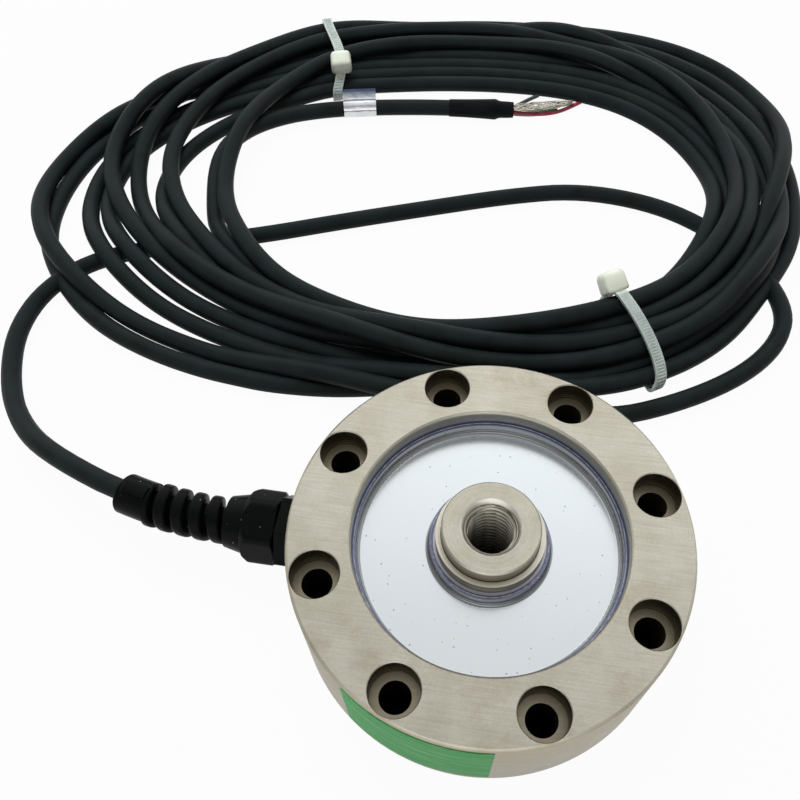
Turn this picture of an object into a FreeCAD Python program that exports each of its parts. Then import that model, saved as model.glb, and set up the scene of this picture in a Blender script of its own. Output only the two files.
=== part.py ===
import FreeCAD, Part
import math
import os

# Pancake load cell: a one-piece steel spoked body, two welded pan covers, a bonded gauge bridge,
# a nylon cable gland with a spiral strain relief, and a coiled signal cable with a stripped end.
# Millimetres, +Z up, origin at the centre of the body's bottom face, cable port along -X.

V = FreeCAD.Vector
X_AXIS = V(1, 0, 0)
Z_AXIS = V(0, 0, 1)
ORIGIN = V(0, 0, 0)

# Body: outer ring with its bolt circle
body_diameter = 92.0
body_height = 30.0
edge_chamfer = 0.6
bolt_circle = 80.0
bolt_count = 8
bolt_hole = 7.0
bolt_head_bore = 11.0
bolt_head_depth = 6.0
hole_chamfer = 0.3

# Recesses in the ring and the pan covers welded into them
recess_diameter = 63.0
cover_sheet = 0.8
cover_fit = 0.05
cover_bend = 1.0
top_floor_depth = 7.7
top_collar_depth = 4.2
bottom_floor_depth = 5.5
bottom_collar_depth = 2.6
cover_ledge = 2.0

# Hub with the centre thread, drawn at its major diameter
boss_diameter = 22.4
boss_rise = 3.4
boss_chamfer = 0.4
hub_step_diameter = 25.0
hub_step_drop = 0.5
hub_diameter = 26.0
hub_ledge = 1.5
hub_bottom_gap = 1.0
thread_diameter = 12.0
thread_mouth = 13.8
thread_mouth_depth = 1.2

# Four shear spokes between hub and ring, each thinned to a web that carries two gauges
spoke_count = 4
spoke_width = 13.0
spoke_gap = 0.8
pocket_corner = 2.5
gauge_pocket = 10.0
web_thickness = 2.0
gauge_size = 5.0
gauge_thickness = 0.12
lead_wire = 0.5
loop_wire = 0.7
harness_inset = 2.5

# Terminal board on a shelf of the ring, beside the cable port
shelf_width = 3.5
shelf_height = 3.0
shelf_top = 10.5
shelf_half_angle = 26.0
board_width = 6.6
board_thickness = 1.2
board_half_angle = 23.0
board_gap = 0.4
pad_inset = 2.4
pad_pitch = 2.2
resistor_size = (3.2, 1.6, 0.6)
resistor_count = 4
resistor_spacing = 9.5

# Cable port and gland
port_height = 15.0
port_thread = 12.5
port_depth = 8.0
port_fit = 0.1
wire_hole = 7.0
spot_face = 20.0
spot_face_depth = 1.2
gasket_diameter = 16.0
gasket_thickness = 1.0
gland_hex = 16.0
flange_length = 4.2
nozzle_length = 7.4
nozzle_wall = 1.6
cap_gap = 0.4
cap_hex_length = 8.0
cap_fit = 0.2
cap_end_gap = 0.6
shoulder_length = 5.0
shoulder_diameter = 12.6
spiral_diameter = 11.4
spiral_bore = 6.4
spiral_rib = 2.3
spiral_turns = 4.5
nut_chamfer = 2.0
relief_length = 28.6
tail_length = 8.6
tail_diameter = 10.2
tail_chamfer = 0.8
tail_key = (2.0, 0.9)
flex_turn = 20.0
flex_droop = 15.0

# Cable, its stripped end and what is fixed on it
cable_diameter = 5.5
bore_clearance = 0.15
core_diameter = 1.1
core_names = ("red", "black", "green", "white")
channel_clearance = 0.3
sleeve_length = 20.0
sleeve_past_jacket = 6.0
sleeve_wall = 0.55
marker_length = 12.0
marker_wall = 0.25
marker_clearance = 0.35
marker_flag = 4.5
marker_lean = 48.0
marker_shift = 2.0
braid_diameter = 1.8

# The route of the cable from the gland's tail to the coil, chosen by hand
lead_points = [
    (-131.5, 24.0, 6.5), (-141.5, 38.5, 3.3), (-147.0, 56.0, 2.75), (-144.0, 73.0, 2.75),
    (-132.0, 86.5, 2.75), (-110.0, 95.0, 2.75), (-86.0, 102.8, 2.75), (-60.0, 113.5, 2.75),
    (-34.0, 123.5, 2.75), (-9.0, 133.0, 2.75), (14.0, 139.5, 2.75), (39.0, 137.5, 2.75),
    (58.5, 128.5, 2.75), (73.0, 114.0, 2.75), (80.5, 98.0, 2.75), (77.0, 84.5, 2.75),
    (66.0, 71.5, 2.75), (48.0, 59.5, 2.75), (27.0, 50.5, 2.75), (7.0, 53.5, 2.75),
    (-12.0, 55.5, 2.75), (-31.0, 53.0, 2.75), (-50.0, 49.0, 2.75), (-68.0, 48.0, 2.75)]
first_lead_run = 38.0
tangent_share = 0.45

# The cable's free end, from the inside of the coil to the stripped cores
tail_points = [
    (-107.5, 131.0, 7.0), (-103.5, 146.0, 6.0), (-92.5, 157.5, 4.8), (-76.0, 165.2, 4.0),
    (-57.0, 169.8, 3.6), (-37.0, 173.0, 3.6), (-18.0, 175.0, 3.6)]
core_points = {
    "red": [
        (-12.4, 174.35, 3.45), (-6.5, 175.2, 2.6), (-0.5, 177.2, 1.8), (5.0, 180.8, 1.4),
        (9.0, 183.8, 1.3)],
    "black": [(-12.4, 176.85, 3.45), (-7.0, 178.4, 3.0), (-2.8, 180.8, 2.3), (0.0, 183.6, 1.5)],
    "green": [(-12.4, 175.0, 2.45), (-6.5, 176.4, 1.4), (-1.0, 178.8, 0.8), (4.0, 182.2, 0.7)],
    "white": [(-12.4, 176.2, 2.45), (-6.5, 177.8, 1.5), (-1.8, 180.2, 0.9), (1.8, 183.2, 0.7)]}
braid_points = [(-12.4, 175.6, 4.55), (-7.6, 177.4, 4.6), (-0.6, 180.8, 4.2), (4.4, 183.8, 3.6)]

# Coil: the outer shape of its turns, seen from above
coil_height = 16.0
coil_round = 5.0
coil_outline = [
    (90, 131), (90, 166), (82.5, 194), (62.5, 219), (25, 233), (-22, 229), (-66, 219.5),
    (-107, 198.5), (-139.5, 168), (-164.5, 131), (-161.5, 96), (-140.5, 65.5), (-105, 46),
    (-71.5, 40.5), (-42, 45), (-9, 46.5), (23, 53), (52, 69), (76, 96)]
coil_eye = [
    (59, 142), (41.5, 175), (-2, 189.5), (-48, 184.5), (-92.5, 165.5),
    (-102.5, 131), (-84.5, 92), (-41, 73), (3, 74.5), (44, 103.5)]

# Cable ties: where each one crosses the coil, as a point and a direction, and its head's place
tie_width = 3.6
tie_thickness = 1.1
tie_clearance = 0.3
tie_corner = 4.0
tie_head = (6.4, 7.4, 5.4)
tie_places = {
    "cable_tie_1": ((-80.5, 189.0), (12.0, -37.0), 0.88),
    "cable_tie_2": ((33.5, 76.5), (-15.0, 23.0), 0.9)}

# Side label, bonded to the ring's outer wall
label_start = -125.0
label_end = -82.0
label_bottom = 3.0
label_top = 28.2
label_thickness = 0.2

# Values that follow from the ones above
body_radius = body_diameter / 2
recess_radius = recess_diameter / 2
top_floor = body_height - top_floor_depth
cavity_top = top_floor - cover_sheet
cavity_bottom = bottom_floor_depth + cover_sheet
spoke_top = cavity_top - spoke_gap
spoke_bottom = cavity_bottom + spoke_gap
spoke_middle = (spoke_top + spoke_bottom) / 2
cavity_outer = recess_radius - cover_ledge
cavity_inner = hub_diameter / 2 + hub_ledge
gauge_radius = (cavity_outer + cavity_inner) / 2
cable_radius = cable_diameter / 2
port_face = -body_radius + spot_face_depth
flange_face = port_face - gasket_thickness - flange_length
cap_start = flange_face - cap_gap
flex_start = cap_start - cap_hex_length - shoulder_length
flex_half = math.radians(flex_turn) / 2
flex_tangent = tangent_share * first_lead_run
flex_radius = flex_tangent / math.tan(flex_half)
jacket_end = flex_start - flex_tangent + first_lead_run
flex_side = V(0, math.cos(math.radians(flex_droop)), -math.sin(math.radians(flex_droop)))


def revolve(outline):
    """A solid of revolution about Z from a closed outline of (radius, height) points."""
    points = [V(r, 0, z) for r, z in outline]
    face = Part.Face(Part.makePolygon(points + points[:1]))
    return face.revolve(ORIGIN, Z_AXIS, 360)


def ring(inner, outer, bottom, top):
    """A plain ring about Z."""
    return revolve([(inner, bottom), (outer, bottom), (outer, top), (inner, top)])


def sector(inner, outer, bottom, top, middle, half_angle):
    """A piece of a ring about Z, centred on the angle middle and reaching half_angle each way."""
    points = [V(r, 0, z) for r, z in ((inner, bottom), (outer, bottom), (outer, top), (inner, top))]
    face = Part.Face(Part.makePolygon(points + points[:1]))
    piece = face.revolve(ORIGIN, Z_AXIS, 2 * half_angle)
    piece.rotate(ORIGIN, Z_AXIS, middle - half_angle)
    return piece


def rod(start, end, radius):
    """A round bar from one point to another."""
    step = end - start
    return Part.makeCylinder(radius, step.Length, start, step)


def pipe(start, end, inner, outer):
    """A straight tube from one point to another."""
    return rod(start, end, outer).cut(rod(start, end, inner))


def hexagon(across_flats, start, end):
    """A hexagonal bar along X with two flats level with the floor."""
    corner = across_flats / math.sqrt(3)
    turns = [math.radians(60 * k) for k in range(7)]
    points = [V(start, corner * math.cos(a), port_height + corner * math.sin(a)) for a in turns]
    return Part.Face(Part.makePolygon(points)).extrude(V(end - start, 0, 0))


def corner_arc(before, corner, after):
    """The start, middle, end and radius of the largest tangent arc that two runs allow."""
    run_in = corner - before
    run_out = after - corner
    half_turn = run_in.getAngle(run_out) / 2
    tangent = tangent_share * min(run_in.Length, run_out.Length)
    radius = tangent / math.tan(half_turn)
    way_in = run_in.normalize()
    way_out = run_out.normalize()
    inward = (way_out - way_in).normalize()
    middle = corner + inward * radius * (1 / math.cos(half_turn) - 1)
    return corner - way_in * tangent, middle, corner + way_out * tangent, radius


def rounded_path(points, name):
    """Straight runs from the first point to the last, joined by tangent arcs."""
    edges = []
    radii = []
    here = points[0]
    for before, corner, after in zip(points, points[1:], points[2:]):
        start, middle, end, radius = corner_arc(before, corner, after)
        edges.append(Part.LineSegment(here, start).toShape())
        edges.append(Part.Arc(start, middle, end).toShape())
        radii.append(round(radius, 1))
        here = end
    edges.append(Part.LineSegment(here, points[-1]).toShape())
    print(name, "bend radii", radii)
    return Part.Wire(edges)


def rounded_loop(outline):
    """A flat face on the floor with a closed outline of straight runs and tangent arcs."""
    points = [V(x, y, 0) for x, y in outline]
    arcs = []
    for k, corner in enumerate(points):
        after = points[(k + 1) % len(points)]
        arcs.append(corner_arc(points[k - 1], corner, after))
    edges = []
    for k, (start, middle, end, _) in enumerate(arcs):
        edges.append(Part.LineSegment(arcs[k - 1][2], start).toShape())
        edges.append(Part.Arc(start, middle, end).toShape())
    return Part.Face(Part.Wire(edges))


def swept(path, radius):
    """A round bar swept along a path of runs and arcs."""
    first = path.Edges[0]
    start = first.valueAt(first.FirstParameter)
    ahead = first.tangentAt(first.FirstParameter)
    circle = Part.Wire(Part.Circle(start, ahead, radius).toShape())
    return path.makePipeShell([circle], True, False)


def route_points():
    """The lead's whole route: through the gland, round its bend, then the points chosen by hand."""
    bend = V(flex_start - flex_tangent, 0, port_height)
    way = X_AXIS * -math.cos(2 * flex_half) + flex_side * math.sin(2 * flex_half)
    points = [V(jacket_end, 0, port_height), bend, bend + way * first_lead_run]
    return points + [V(*p) for p in lead_points]


def flex_point(distance):
    """A point on the bent axis of the strain relief, and the axis's direction there."""
    angle = distance / flex_radius
    place = V(flex_start, 0, port_height)
    place += X_AXIS * -flex_radius * math.sin(angle)
    place += flex_side * flex_radius * (1 - math.cos(angle))
    return place, X_AXIS * -math.cos(angle) + flex_side * math.sin(angle)


def flex_axis(start, end):
    """The stretch of the strain relief's bent axis between two distances along it."""
    places = [flex_point(start + (end - start) * k / 2)[0] for k in range(3)]
    return Part.Wire(Part.Arc(*places).toShape())


def make_sensor_body():
    """Outer ring, hub and the web between them as one turned blank, then the milled openings."""
    chamfer = edge_chamfer
    ring_part = revolve([
        (recess_radius, 0), (body_radius - chamfer, 0), (body_radius, chamfer),
        (body_radius, body_height - chamfer), (body_radius - chamfer, body_height),
        (recess_radius + chamfer, body_height), (recess_radius, body_height - chamfer),
        (recess_radius, cavity_top), (cavity_outer, cavity_top), (cavity_outer, spoke_top),
        (cavity_outer, spoke_bottom), (cavity_outer, cavity_bottom), (recess_radius, cavity_bottom)])
    bore = thread_diameter / 2
    hub_top = body_height + boss_rise
    hub_step = body_height - hub_step_drop
    hub_part = revolve([
        (bore, hub_bottom_gap), (hub_diameter / 2, hub_bottom_gap), (hub_diameter / 2, cavity_bottom),
        (cavity_inner, cavity_bottom), (cavity_inner, cavity_top), (hub_diameter / 2, cavity_top),
        (hub_diameter / 2, body_height - top_collar_depth),
        (hub_step_diameter / 2, body_height - top_collar_depth), (hub_step_diameter / 2, hub_step),
        (boss_diameter / 2, hub_step), (boss_diameter / 2, hub_top - boss_chamfer),
        (boss_diameter / 2 - boss_chamfer, hub_top), (thread_mouth / 2, hub_top),
        (bore, hub_top - thread_mouth_depth)])
    web = ring(cavity_inner, cavity_outer, spoke_bottom, spoke_top)
    body = ring_part.fuse([hub_part, web])
    for tools in (spoke_pockets(), gauge_pockets(), bolt_holes(), port_cuts()):
        body = body.cut(tools)
    return body.fuse(board_shelf())


def spoke_pockets():
    """The four openings between the spokes, with rounded corners."""
    tools = []
    for k in range(spoke_count):
        middle = 360 / spoke_count * k
        tool = sector(cavity_inner, cavity_outer, cavity_bottom, cavity_top, middle, 180 / spoke_count)
        for side in (-1, 1):
            spoke = Part.makeBox(body_radius, spoke_width, body_height, V(0, -spoke_width / 2, 0))
            spoke.rotate(ORIGIN, Z_AXIS, middle + side * 180 / spoke_count)
            tool = tool.cut(spoke)
        corners = [e for e in tool.Edges if abs(e.tangentAt(e.FirstParameter).z) > 0.99]
        tools.append(tool.makeFillet(pocket_corner, corners).Solids[0])
    return tools


def spoke_frames():
    """Each spoke's direction and sideways vector."""
    frames = []
    for k in range(spoke_count):
        angle = math.radians(360 / spoke_count * (k + 0.5))
        frames.append((V(math.cos(angle), math.sin(angle), 0), V(-math.sin(angle), math.cos(angle), 0)))
    return frames


def gauge_pockets():
    """Blind bores from both flanks of each spoke, which leave the thin shear web."""
    tools = []
    for along, across in spoke_frames():
        middle = along * gauge_radius + Z_AXIS * spoke_middle
        for side in (-1, 1):
            outward = across * side
            floor = middle + outward * (web_thickness / 2)
            tools.append(rod(floor, middle + outward * spoke_width, gauge_pocket / 2))
    return tools


def bolt_holes():
    """Through holes with bores for the screw heads, on the bolt circle."""
    tools = []
    for k in range(bolt_count):
        angle = math.radians(360 / bolt_count * (k + 0.5))
        x = bolt_circle / 2 * math.cos(angle)
        y = bolt_circle / 2 * math.sin(angle)
        tool = revolve([
            (0, 0), (bolt_hole / 2 + hole_chamfer, 0), (bolt_hole / 2, hole_chamfer),
            (bolt_hole / 2, body_height - bolt_head_depth),
            (bolt_head_bore / 2, body_height - bolt_head_depth),
            (bolt_head_bore / 2, body_height - hole_chamfer),
            (bolt_head_bore / 2 + hole_chamfer, body_height), (0, body_height)])
        tools.append(tool.translate(V(x, y, 0)))
    return tools


def port_cuts():
    """Spot face, threaded bore and wire hole of the cable port, along -X."""
    face = V(port_face, 0, port_height)
    return [
        rod(face, face - X_AXIS * 2 * spot_face_depth, spot_face / 2),
        rod(face, face + X_AXIS * port_depth, port_thread / 2),
        rod(face, V(-cavity_inner, 0, port_height), wire_hole / 2)]


def board_shelf():
    """A ledge of the ring inside the opening next to the port, which carries the board."""
    overlap = cover_ledge / 2
    return sector(
        cavity_outer - shelf_width, cavity_outer + overlap,
        shelf_top - shelf_height, shelf_top, 180, shelf_half_angle)


def make_cover(floor_face, collar_edge, sheet):
    """A pan of sheet metal: a flat ring with a collar turned up at each edge.

    floor_face is the height of the pan's visible floor and collar_edge that of its collars' edges;
    sheet is positive where the pan's back is above its floor."""
    outer = recess_radius - cover_fit
    inner = hub_diameter / 2 + cover_fit
    wall = abs(sheet)
    back = floor_face + sheet
    pan = revolve([
        (inner, collar_edge), (inner, back), (outer, back), (outer, collar_edge),
        (outer - wall, collar_edge), (outer - wall, floor_face),
        (inner + wall, floor_face), (inner + wall, collar_edge)])
    bends = [
        e for e in pan.Edges
        if abs(e.BoundBox.ZMin - floor_face) < 1e-6 and abs(e.BoundBox.ZMax - floor_face) < 1e-6]
    return pan.makeFillet(cover_bend, bends)


def make_gauges():
    """Two foil gauges on each web, one on each face."""
    gauges = []
    for along, across in spoke_frames():
        for side in (-1, 1):
            centre = along * gauge_radius + Z_AXIS * spoke_middle + across * side * web_thickness / 2
            corner = centre - along * gauge_size / 2 - Z_AXIS * gauge_size / 2
            plate = Part.makePolygon([
                corner, corner + along * gauge_size, corner + along * gauge_size + Z_AXIS * gauge_size,
                corner + Z_AXIS * gauge_size, corner])
            gauges.append(Part.Face(plate).extrude(across * side * gauge_thickness))
    return gauges


def make_harness():
    """The bridge wiring: a loop that lies on the spokes, with a drop to each gauge and to the board."""
    wire = lead_wire / 2
    loop_height = spoke_top + loop_wire / 2
    radius = cavity_outer - harness_inset
    loop = Part.makeTorus(radius, loop_wire / 2, V(0, 0, loop_height), Z_AXIS)
    sideways = spoke_width / 2 + 2 * lead_wire
    forward = math.sqrt(radius ** 2 - sideways ** 2)
    gauge_face = web_thickness / 2 + gauge_thickness
    drops = []
    for along, across in spoke_frames():
        for side in (-1, 1):
            elbow = along * forward + across * side * sideways + Z_AXIS * spoke_middle
            top = V(elbow.x, elbow.y, loop_height)
            pad = along * gauge_radius + across * side * (gauge_face + wire) + Z_AXIS * spoke_middle
            drops.append(swept(rounded_path([top, elbow, pad], "gauge wire"), wire))
    tap = V(-radius, 0, loop_height)
    drops.append(rod(tap, V(tap.x, 0, shelf_top + board_thickness), wire))
    return loop.fuse(drops)


def make_board():
    """Terminal board, a flat piece of a ring on the shelf."""
    outer = cavity_outer - board_gap
    board = sector(
        outer - board_width, outer, shelf_top, shelf_top + board_thickness, 180, board_half_angle)
    return board


def make_resistors():
    """Trim resistors in a row along the board."""
    length, width, height = resistor_size
    radius = cavity_outer - board_gap - board_width + width
    blocks = []
    for k in range(resistor_count):
        angle = 180 + resistor_spacing * (k - (resistor_count - 1) / 2)
        block = Part.makeBox(width, length, height, V(radius - width / 2, -length / 2, 0))
        block.translate(Z_AXIS * (shelf_top + board_thickness))
        block.rotate(ORIGIN, Z_AXIS, angle)
        blocks.append(block)
    return Part.Compound(blocks)


def make_inner_core(index):
    """A core from the end of the jacket to its pad on the board; four lie in a square."""
    spread = core_diameter / 2 + channel_clearance
    side = 1 if index % 2 else -1
    level = 1 if index > 1 else -1
    start = V(jacket_end, side * spread, port_height + level * spread)
    bend = V(-cavity_outer - core_diameter, start.y, start.z)
    pad_top = shelf_top + board_thickness + core_diameter / 2
    pad = V(board_gap + pad_inset - cavity_outer, pad_pitch * (side + level / 2), pad_top)
    path = rounded_path([start, bend, pad], "inner core %d" % index)
    return swept(path, core_diameter / 2)


def make_gland_body():
    """Threaded spigot, hexagon flange and the nozzle that the cap screws on."""
    face = V(port_face, 0, port_height)
    flange = hexagon(gland_hex, port_face - gasket_thickness, flange_face)
    spigot_radius = port_thread / 2 - port_fit
    spigot_end = face + X_AXIS * (port_depth - gasket_thickness)
    spigot = rod(spigot_end, face - X_AXIS * gasket_thickness, spigot_radius)
    nozzle_end = V(flange_face - nozzle_length, 0, port_height)
    nozzle = rod(V(flange_face, 0, port_height), nozzle_end, nozzle_radius())
    bore = rod(face + X_AXIS * port_depth, V(flange_face, 0, port_height), cable_radius + bore_clearance)
    cup = rod(V(flange_face, 0, port_height), nozzle_end, seal_radius() + bore_clearance)
    return flange.fuse([spigot, nozzle]).cut(bore.fuse(cup))


def make_seal():
    """The rubber seal in the nozzle, round the cable."""
    start = V(flange_face, 0, port_height)
    return pipe(start, start - X_AXIS * nozzle_length, cable_radius + bore_clearance, seal_radius())


def nozzle_radius():
    """The nozzle's outer radius, inside the cap."""
    return shoulder_diameter / 2 - cap_fit


def seal_radius():
    """The outer radius of the rubber seal in the nozzle."""
    return nozzle_radius() - nozzle_wall


def make_gland_cap():
    """Hexagon nut, shoulder, open spiral and plain tail of the strain relief, moulded as one."""
    nut_open = V(cap_start, 0, port_height)
    nut_end = V(cap_start - cap_hex_length, 0, port_height)
    corner = gland_hex / math.sqrt(3)
    chamfer_start = nut_end + X_AXIS * nut_chamfer
    blank = rod(nut_open, chamfer_start, corner)
    blank = blank.fuse(Part.makeCone(corner, gland_hex / 2, nut_chamfer, chamfer_start, -X_AXIS))
    nut = hexagon(gland_hex, cap_start, nut_end.x).common(blank)
    shoulder = Part.makeCone(gland_hex / 2, shoulder_diameter / 2, shoulder_length, nut_end, -X_AXIS)
    hollow_end = V(flange_face - nozzle_length - cap_end_gap, 0, port_height)
    hollow = rod(nut_open, hollow_end, nozzle_radius() + cap_fit)
    throat = rod(nut_open, V(flex_start, 0, port_height), cable_radius + bore_clearance)
    cap = nut.fuse(shoulder).cut(hollow.fuse(throat))
    return cap.fuse([make_spiral(), make_flex_tail()])


def make_spiral():
    """The open helix of the strain relief: a square rib wound round the bent axis."""
    rib_start = -spiral_rib / 4
    rib_end = relief_length - tail_length + spiral_rib / 4
    middle = (spiral_diameter + spiral_bore) / 4
    steps = int(spiral_turns * 20)
    places = []
    for k in range(steps + 1):
        share = k / steps
        centre, ahead = flex_point(rib_start + (rib_end - rib_start) * share)
        up = ahead.cross(flex_side).normalize()
        side = up.cross(ahead)
        angle = 2 * math.pi * spiral_turns * share
        places.append(centre + (side * math.cos(angle) + up * math.sin(angle)) * middle)
    curve = Part.BSplineCurve()
    curve.interpolate(places)
    spine = Part.Wire(curve.toShape())
    centre, ahead = flex_point(rib_start)
    outward = (places[0] - centre).normalize()
    depth = (spiral_diameter - spiral_bore) / 2
    corner = places[0] - ahead * spiral_rib / 2 - outward * depth / 2
    rib = Part.makePolygon([
        corner, corner + ahead * spiral_rib, corner + ahead * spiral_rib + outward * depth,
        corner + outward * depth, corner])
    sweep = Part.BRepOffsetAPI.MakePipeShell(spine)
    sweep.setAuxiliarySpine(flex_axis(rib_start, rib_end), True, 0)
    sweep.add(rib, False, False)
    sweep.build()
    sweep.makeSolid()
    return sweep.shape()


def make_flex_tail():
    """The plain tail past the spiral, with the small key on its upper side."""
    start, way = flex_point(relief_length - tail_length)
    rim, rim_way = flex_point(relief_length - tail_chamfer)
    bore = cable_radius + bore_clearance
    axis = flex_axis(relief_length - tail_length, relief_length - tail_chamfer)
    tail = swept(axis, tail_diameter / 2).cut(swept(axis, bore))
    lip = Part.makeCone(tail_diameter / 2, tail_diameter / 2 - tail_chamfer, tail_chamfer, rim, rim_way)
    lip = lip.cut(rod(rim, rim + rim_way * tail_chamfer, bore))
    width, height = tail_key
    up = way.cross(flex_side).normalize()
    if up.z < 0:
        up = up * -1
    side = up.cross(way)
    corner = start + up * (tail_diameter / 2 - height) - side * width / 2
    top = corner + up * 2 * height
    profile = Part.makePolygon([corner, corner + side * width, top + side * width, top, corner])
    key_axis = flex_axis(relief_length - tail_length, relief_length - 2 * tail_chamfer)
    return tail.fuse([lip, key_axis.makePipeShell([profile], True, False)])


def make_marker(path_start, path_end):
    """A foil marker wrapped round the cable, with its two ends pressed together as a flag."""
    middle = (path_start + path_end) / 2
    way = (path_end - path_start).normalize()
    inner = cable_radius + marker_clearance
    start = middle + way * (marker_shift - marker_length / 2)
    end = middle + way * (marker_shift + marker_length / 2)
    wrap = pipe(start, end, inner, inner + marker_wall)
    side = Z_AXIS.cross(way).normalize()
    root = start + side * inner
    lean = (side * math.cos(math.radians(marker_lean)) + Z_AXIS * math.sin(math.radians(marker_lean)))
    tip = root + lean * marker_flag
    along = way * marker_length
    flag = Part.Face(Part.makePolygon([root, root + along, tip + along, tip, root]))
    flag = flag.extrude(way.cross(lean).normalize() * 2 * marker_wall)
    return wrap.fuse(flag).cut(rod(start, end, inner))


def make_sleeve():
    """Heat-shrink sleeve over the end of the jacket, drawn in past it over the bare cores."""
    before, end = (V(*p) for p in tail_points[-2:])
    way = (end - before).normalize()
    start = end - way * (sleeve_length - sleeve_past_jacket)
    inner = cable_radius + bore_clearance
    outer = inner + sleeve_wall
    over_jacket = pipe(start, end, inner, outer)
    mouth = end + way * sleeve_past_jacket
    neck = Part.makeCone(outer, cable_radius, sleeve_past_jacket, end, way)
    neck = neck.cut(rod(end, mouth, cable_radius - sleeve_wall))
    return over_jacket.fuse(neck)


def coil_face():
    """The coil's outline less its eye, as a flat face on the floor."""
    return rounded_loop(coil_outline).cut(rounded_loop(coil_eye))


def tie_crossing(name):
    """The middle of the coil's section under a tie, its half width and the tie's direction."""
    centre, direction, _ = tie_places[name]
    along = V(direction[0], direction[1], 0).normalize()
    middle = V(centre[0], centre[1], 0)
    reach = along * body_radius
    pieces = Part.makeLine(middle - reach, middle + reach).common(coil_face()).Edges
    section = min(pieces, key=lambda e: (e.CenterOfMass - middle).Length)
    return section.CenterOfMass, section.Length / 2, along


def across_coil(shape, name):
    """Turn a shape made along X at the origin to lie across the coil where a tie does."""
    middle, _, along = tie_crossing(name)
    shape.rotate(ORIGIN, Z_AXIS, math.degrees(math.atan2(along.y, along.x)))
    shape.translate(middle)
    return shape


def rounded_block(half_length, width, bottom, top, corner):
    """A block along X whose four long edges across it are rounded."""
    block = Part.makeBox(2 * half_length, width, top - bottom, V(-half_length, -width / 2, bottom))
    edges = [e for e in block.Edges if abs(e.tangentAt(e.FirstParameter).y) > 0.99]
    return block.makeFillet(corner, edges)


def make_tie(name):
    """A moulded cable tie: its strap in a closed loop round the coil, and its head."""
    _, half, _ = tie_crossing(name)
    inside = half + tie_clearance
    loop_top = coil_height + tie_clearance
    strap = rounded_block(inside + tie_thickness, tie_width, 0, loop_top + tie_thickness, tie_corner)
    inner_corner = tie_corner - tie_thickness
    strap = strap.cut(rounded_block(inside, 2 * tie_width, tie_thickness, loop_top, inner_corner))
    length, width, height = tie_head
    place = (2 * tie_places[name][2] - 1) * half
    head = rounded_block(length / 2, width, loop_top, loop_top + height, tie_thickness)
    head.translate(X_AXIS * place)
    return across_coil(strap.fuse(head), name)


def tie_waist(name):
    """What a tie draws in of the coil: all that lies outside the strap, over the strap's width."""
    _, half, _ = tie_crossing(name)
    width = tie_width + 2 * tie_clearance
    reach = half + coil_height
    slab = Part.makeBox(2 * reach, width, coil_height, V(-reach, -width / 2, 0))
    bottom = tie_thickness + tie_clearance
    kept = rounded_block(half, 2 * width, bottom, coil_height, tie_corner)
    return across_coil(slab.cut(kept), name)


def make_coil(lead_path, tail_path):
    """The outer shape of the coil's turns, with room for the lead under it and for the ties."""
    coil = coil_face().extrude(V(0, 0, coil_height))
    top_edges = [e for e in coil.Edges if e.BoundBox.ZMin > coil_height / 2]
    coil = coil.makeFillet(coil_round, top_edges)
    channel = cable_radius + channel_clearance
    cuts = [swept(lead_path, channel), swept(tail_path, channel)]
    cuts += [tie_waist(name) for name in tie_places]
    return max(coil.cut(cuts).Solids, key=lambda solid: solid.Volume)


def make_label():
    """A plain label bonded to the ring's wall."""
    middle = (label_start + label_end) / 2
    half_angle = (label_end - label_start) / 2
    return sector(body_radius, body_radius + label_thickness, label_bottom, label_top, middle, half_angle)


def check_tube(tube, path, name):
    """Print a swept tube's volume beside its section times its length."""
    section = math.pi * cable_radius ** 2
    print(name, "volume", round(tube.Volume), "section x length", round(section * path.Length))
    print(name, "length", round(path.Length))


def export(shape, name):
    """Write one piece."""
    shape.exportStep("parts/%s.step" % name)
    print(name, "valid" if shape.isValid() else "INVALID", len(shape.Solids), round(shape.Volume, 2))


os.makedirs("parts", exist_ok=True)
face = V(port_face, 0, port_height)
lead_path = rounded_path(route_points(), "cable lead")
tail_path = rounded_path([V(*p) for p in tail_points], "cable tail")
pieces = {
    "sensor_body": make_sensor_body(),
    "top_cover": make_cover(top_floor, body_height - top_collar_depth, -cover_sheet),
    "bottom_cover": make_cover(bottom_floor_depth, bottom_collar_depth, cover_sheet),
    "side_label": make_label(),
    "gauge_harness": make_harness(),
    "terminal_board": make_board(),
    "trim_resistors": make_resistors(),
    "gland_gasket": pipe(face, face - X_AXIS * gasket_thickness, port_thread / 2, gasket_diameter / 2),
    "gland_body": make_gland_body(),
    "gland_seal": make_seal(),
    "gland_cap": make_gland_cap(),
    "cable_lead": swept(lead_path, cable_radius),
    "cable_coil": make_coil(lead_path, tail_path),
    "cable_tail": swept(tail_path, cable_radius),
    "cable_marker": make_marker(V(*tail_points[3]), V(*tail_points[4])),
    "shrink_sleeve": make_sleeve(),
    "shield_braid": swept(rounded_path([V(*p) for p in braid_points], "braid"), braid_diameter / 2)}
for number, gauge in enumerate(make_gauges(), 1):
    pieces["strain_gauge_%d" % number] = gauge
for number, colour in enumerate(core_names):
    pieces["inner_core_" + colour] = make_inner_core(number)
    path = rounded_path([V(*p) for p in core_points[colour]], colour + " core")
    pieces["end_core_" + colour] = swept(path, core_diameter / 2)
for name in tie_places:
    pieces[name] = make_tie(name)
check_tube(pieces["cable_lead"], lead_path, "cable_lead")
check_tube(pieces["cable_tail"], tail_path, "cable_tail")
for name, shape in pieces.items():
    export(shape, name)
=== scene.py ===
# %% [markdown]
# # A pancake load cell with its coiled cable
# The object is a squat round force sensor: a plated steel body with eight bolt holes, two pressed
# covers welded into it, a threaded hub, a cable gland with a spiral strain relief, and about six metres
# of black cable wound into a loose oval coil that two nylon ties hold together. Its rigid pieces come
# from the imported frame. This lesson gives them their finishes and adds the pieces that are soft or fine.

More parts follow.
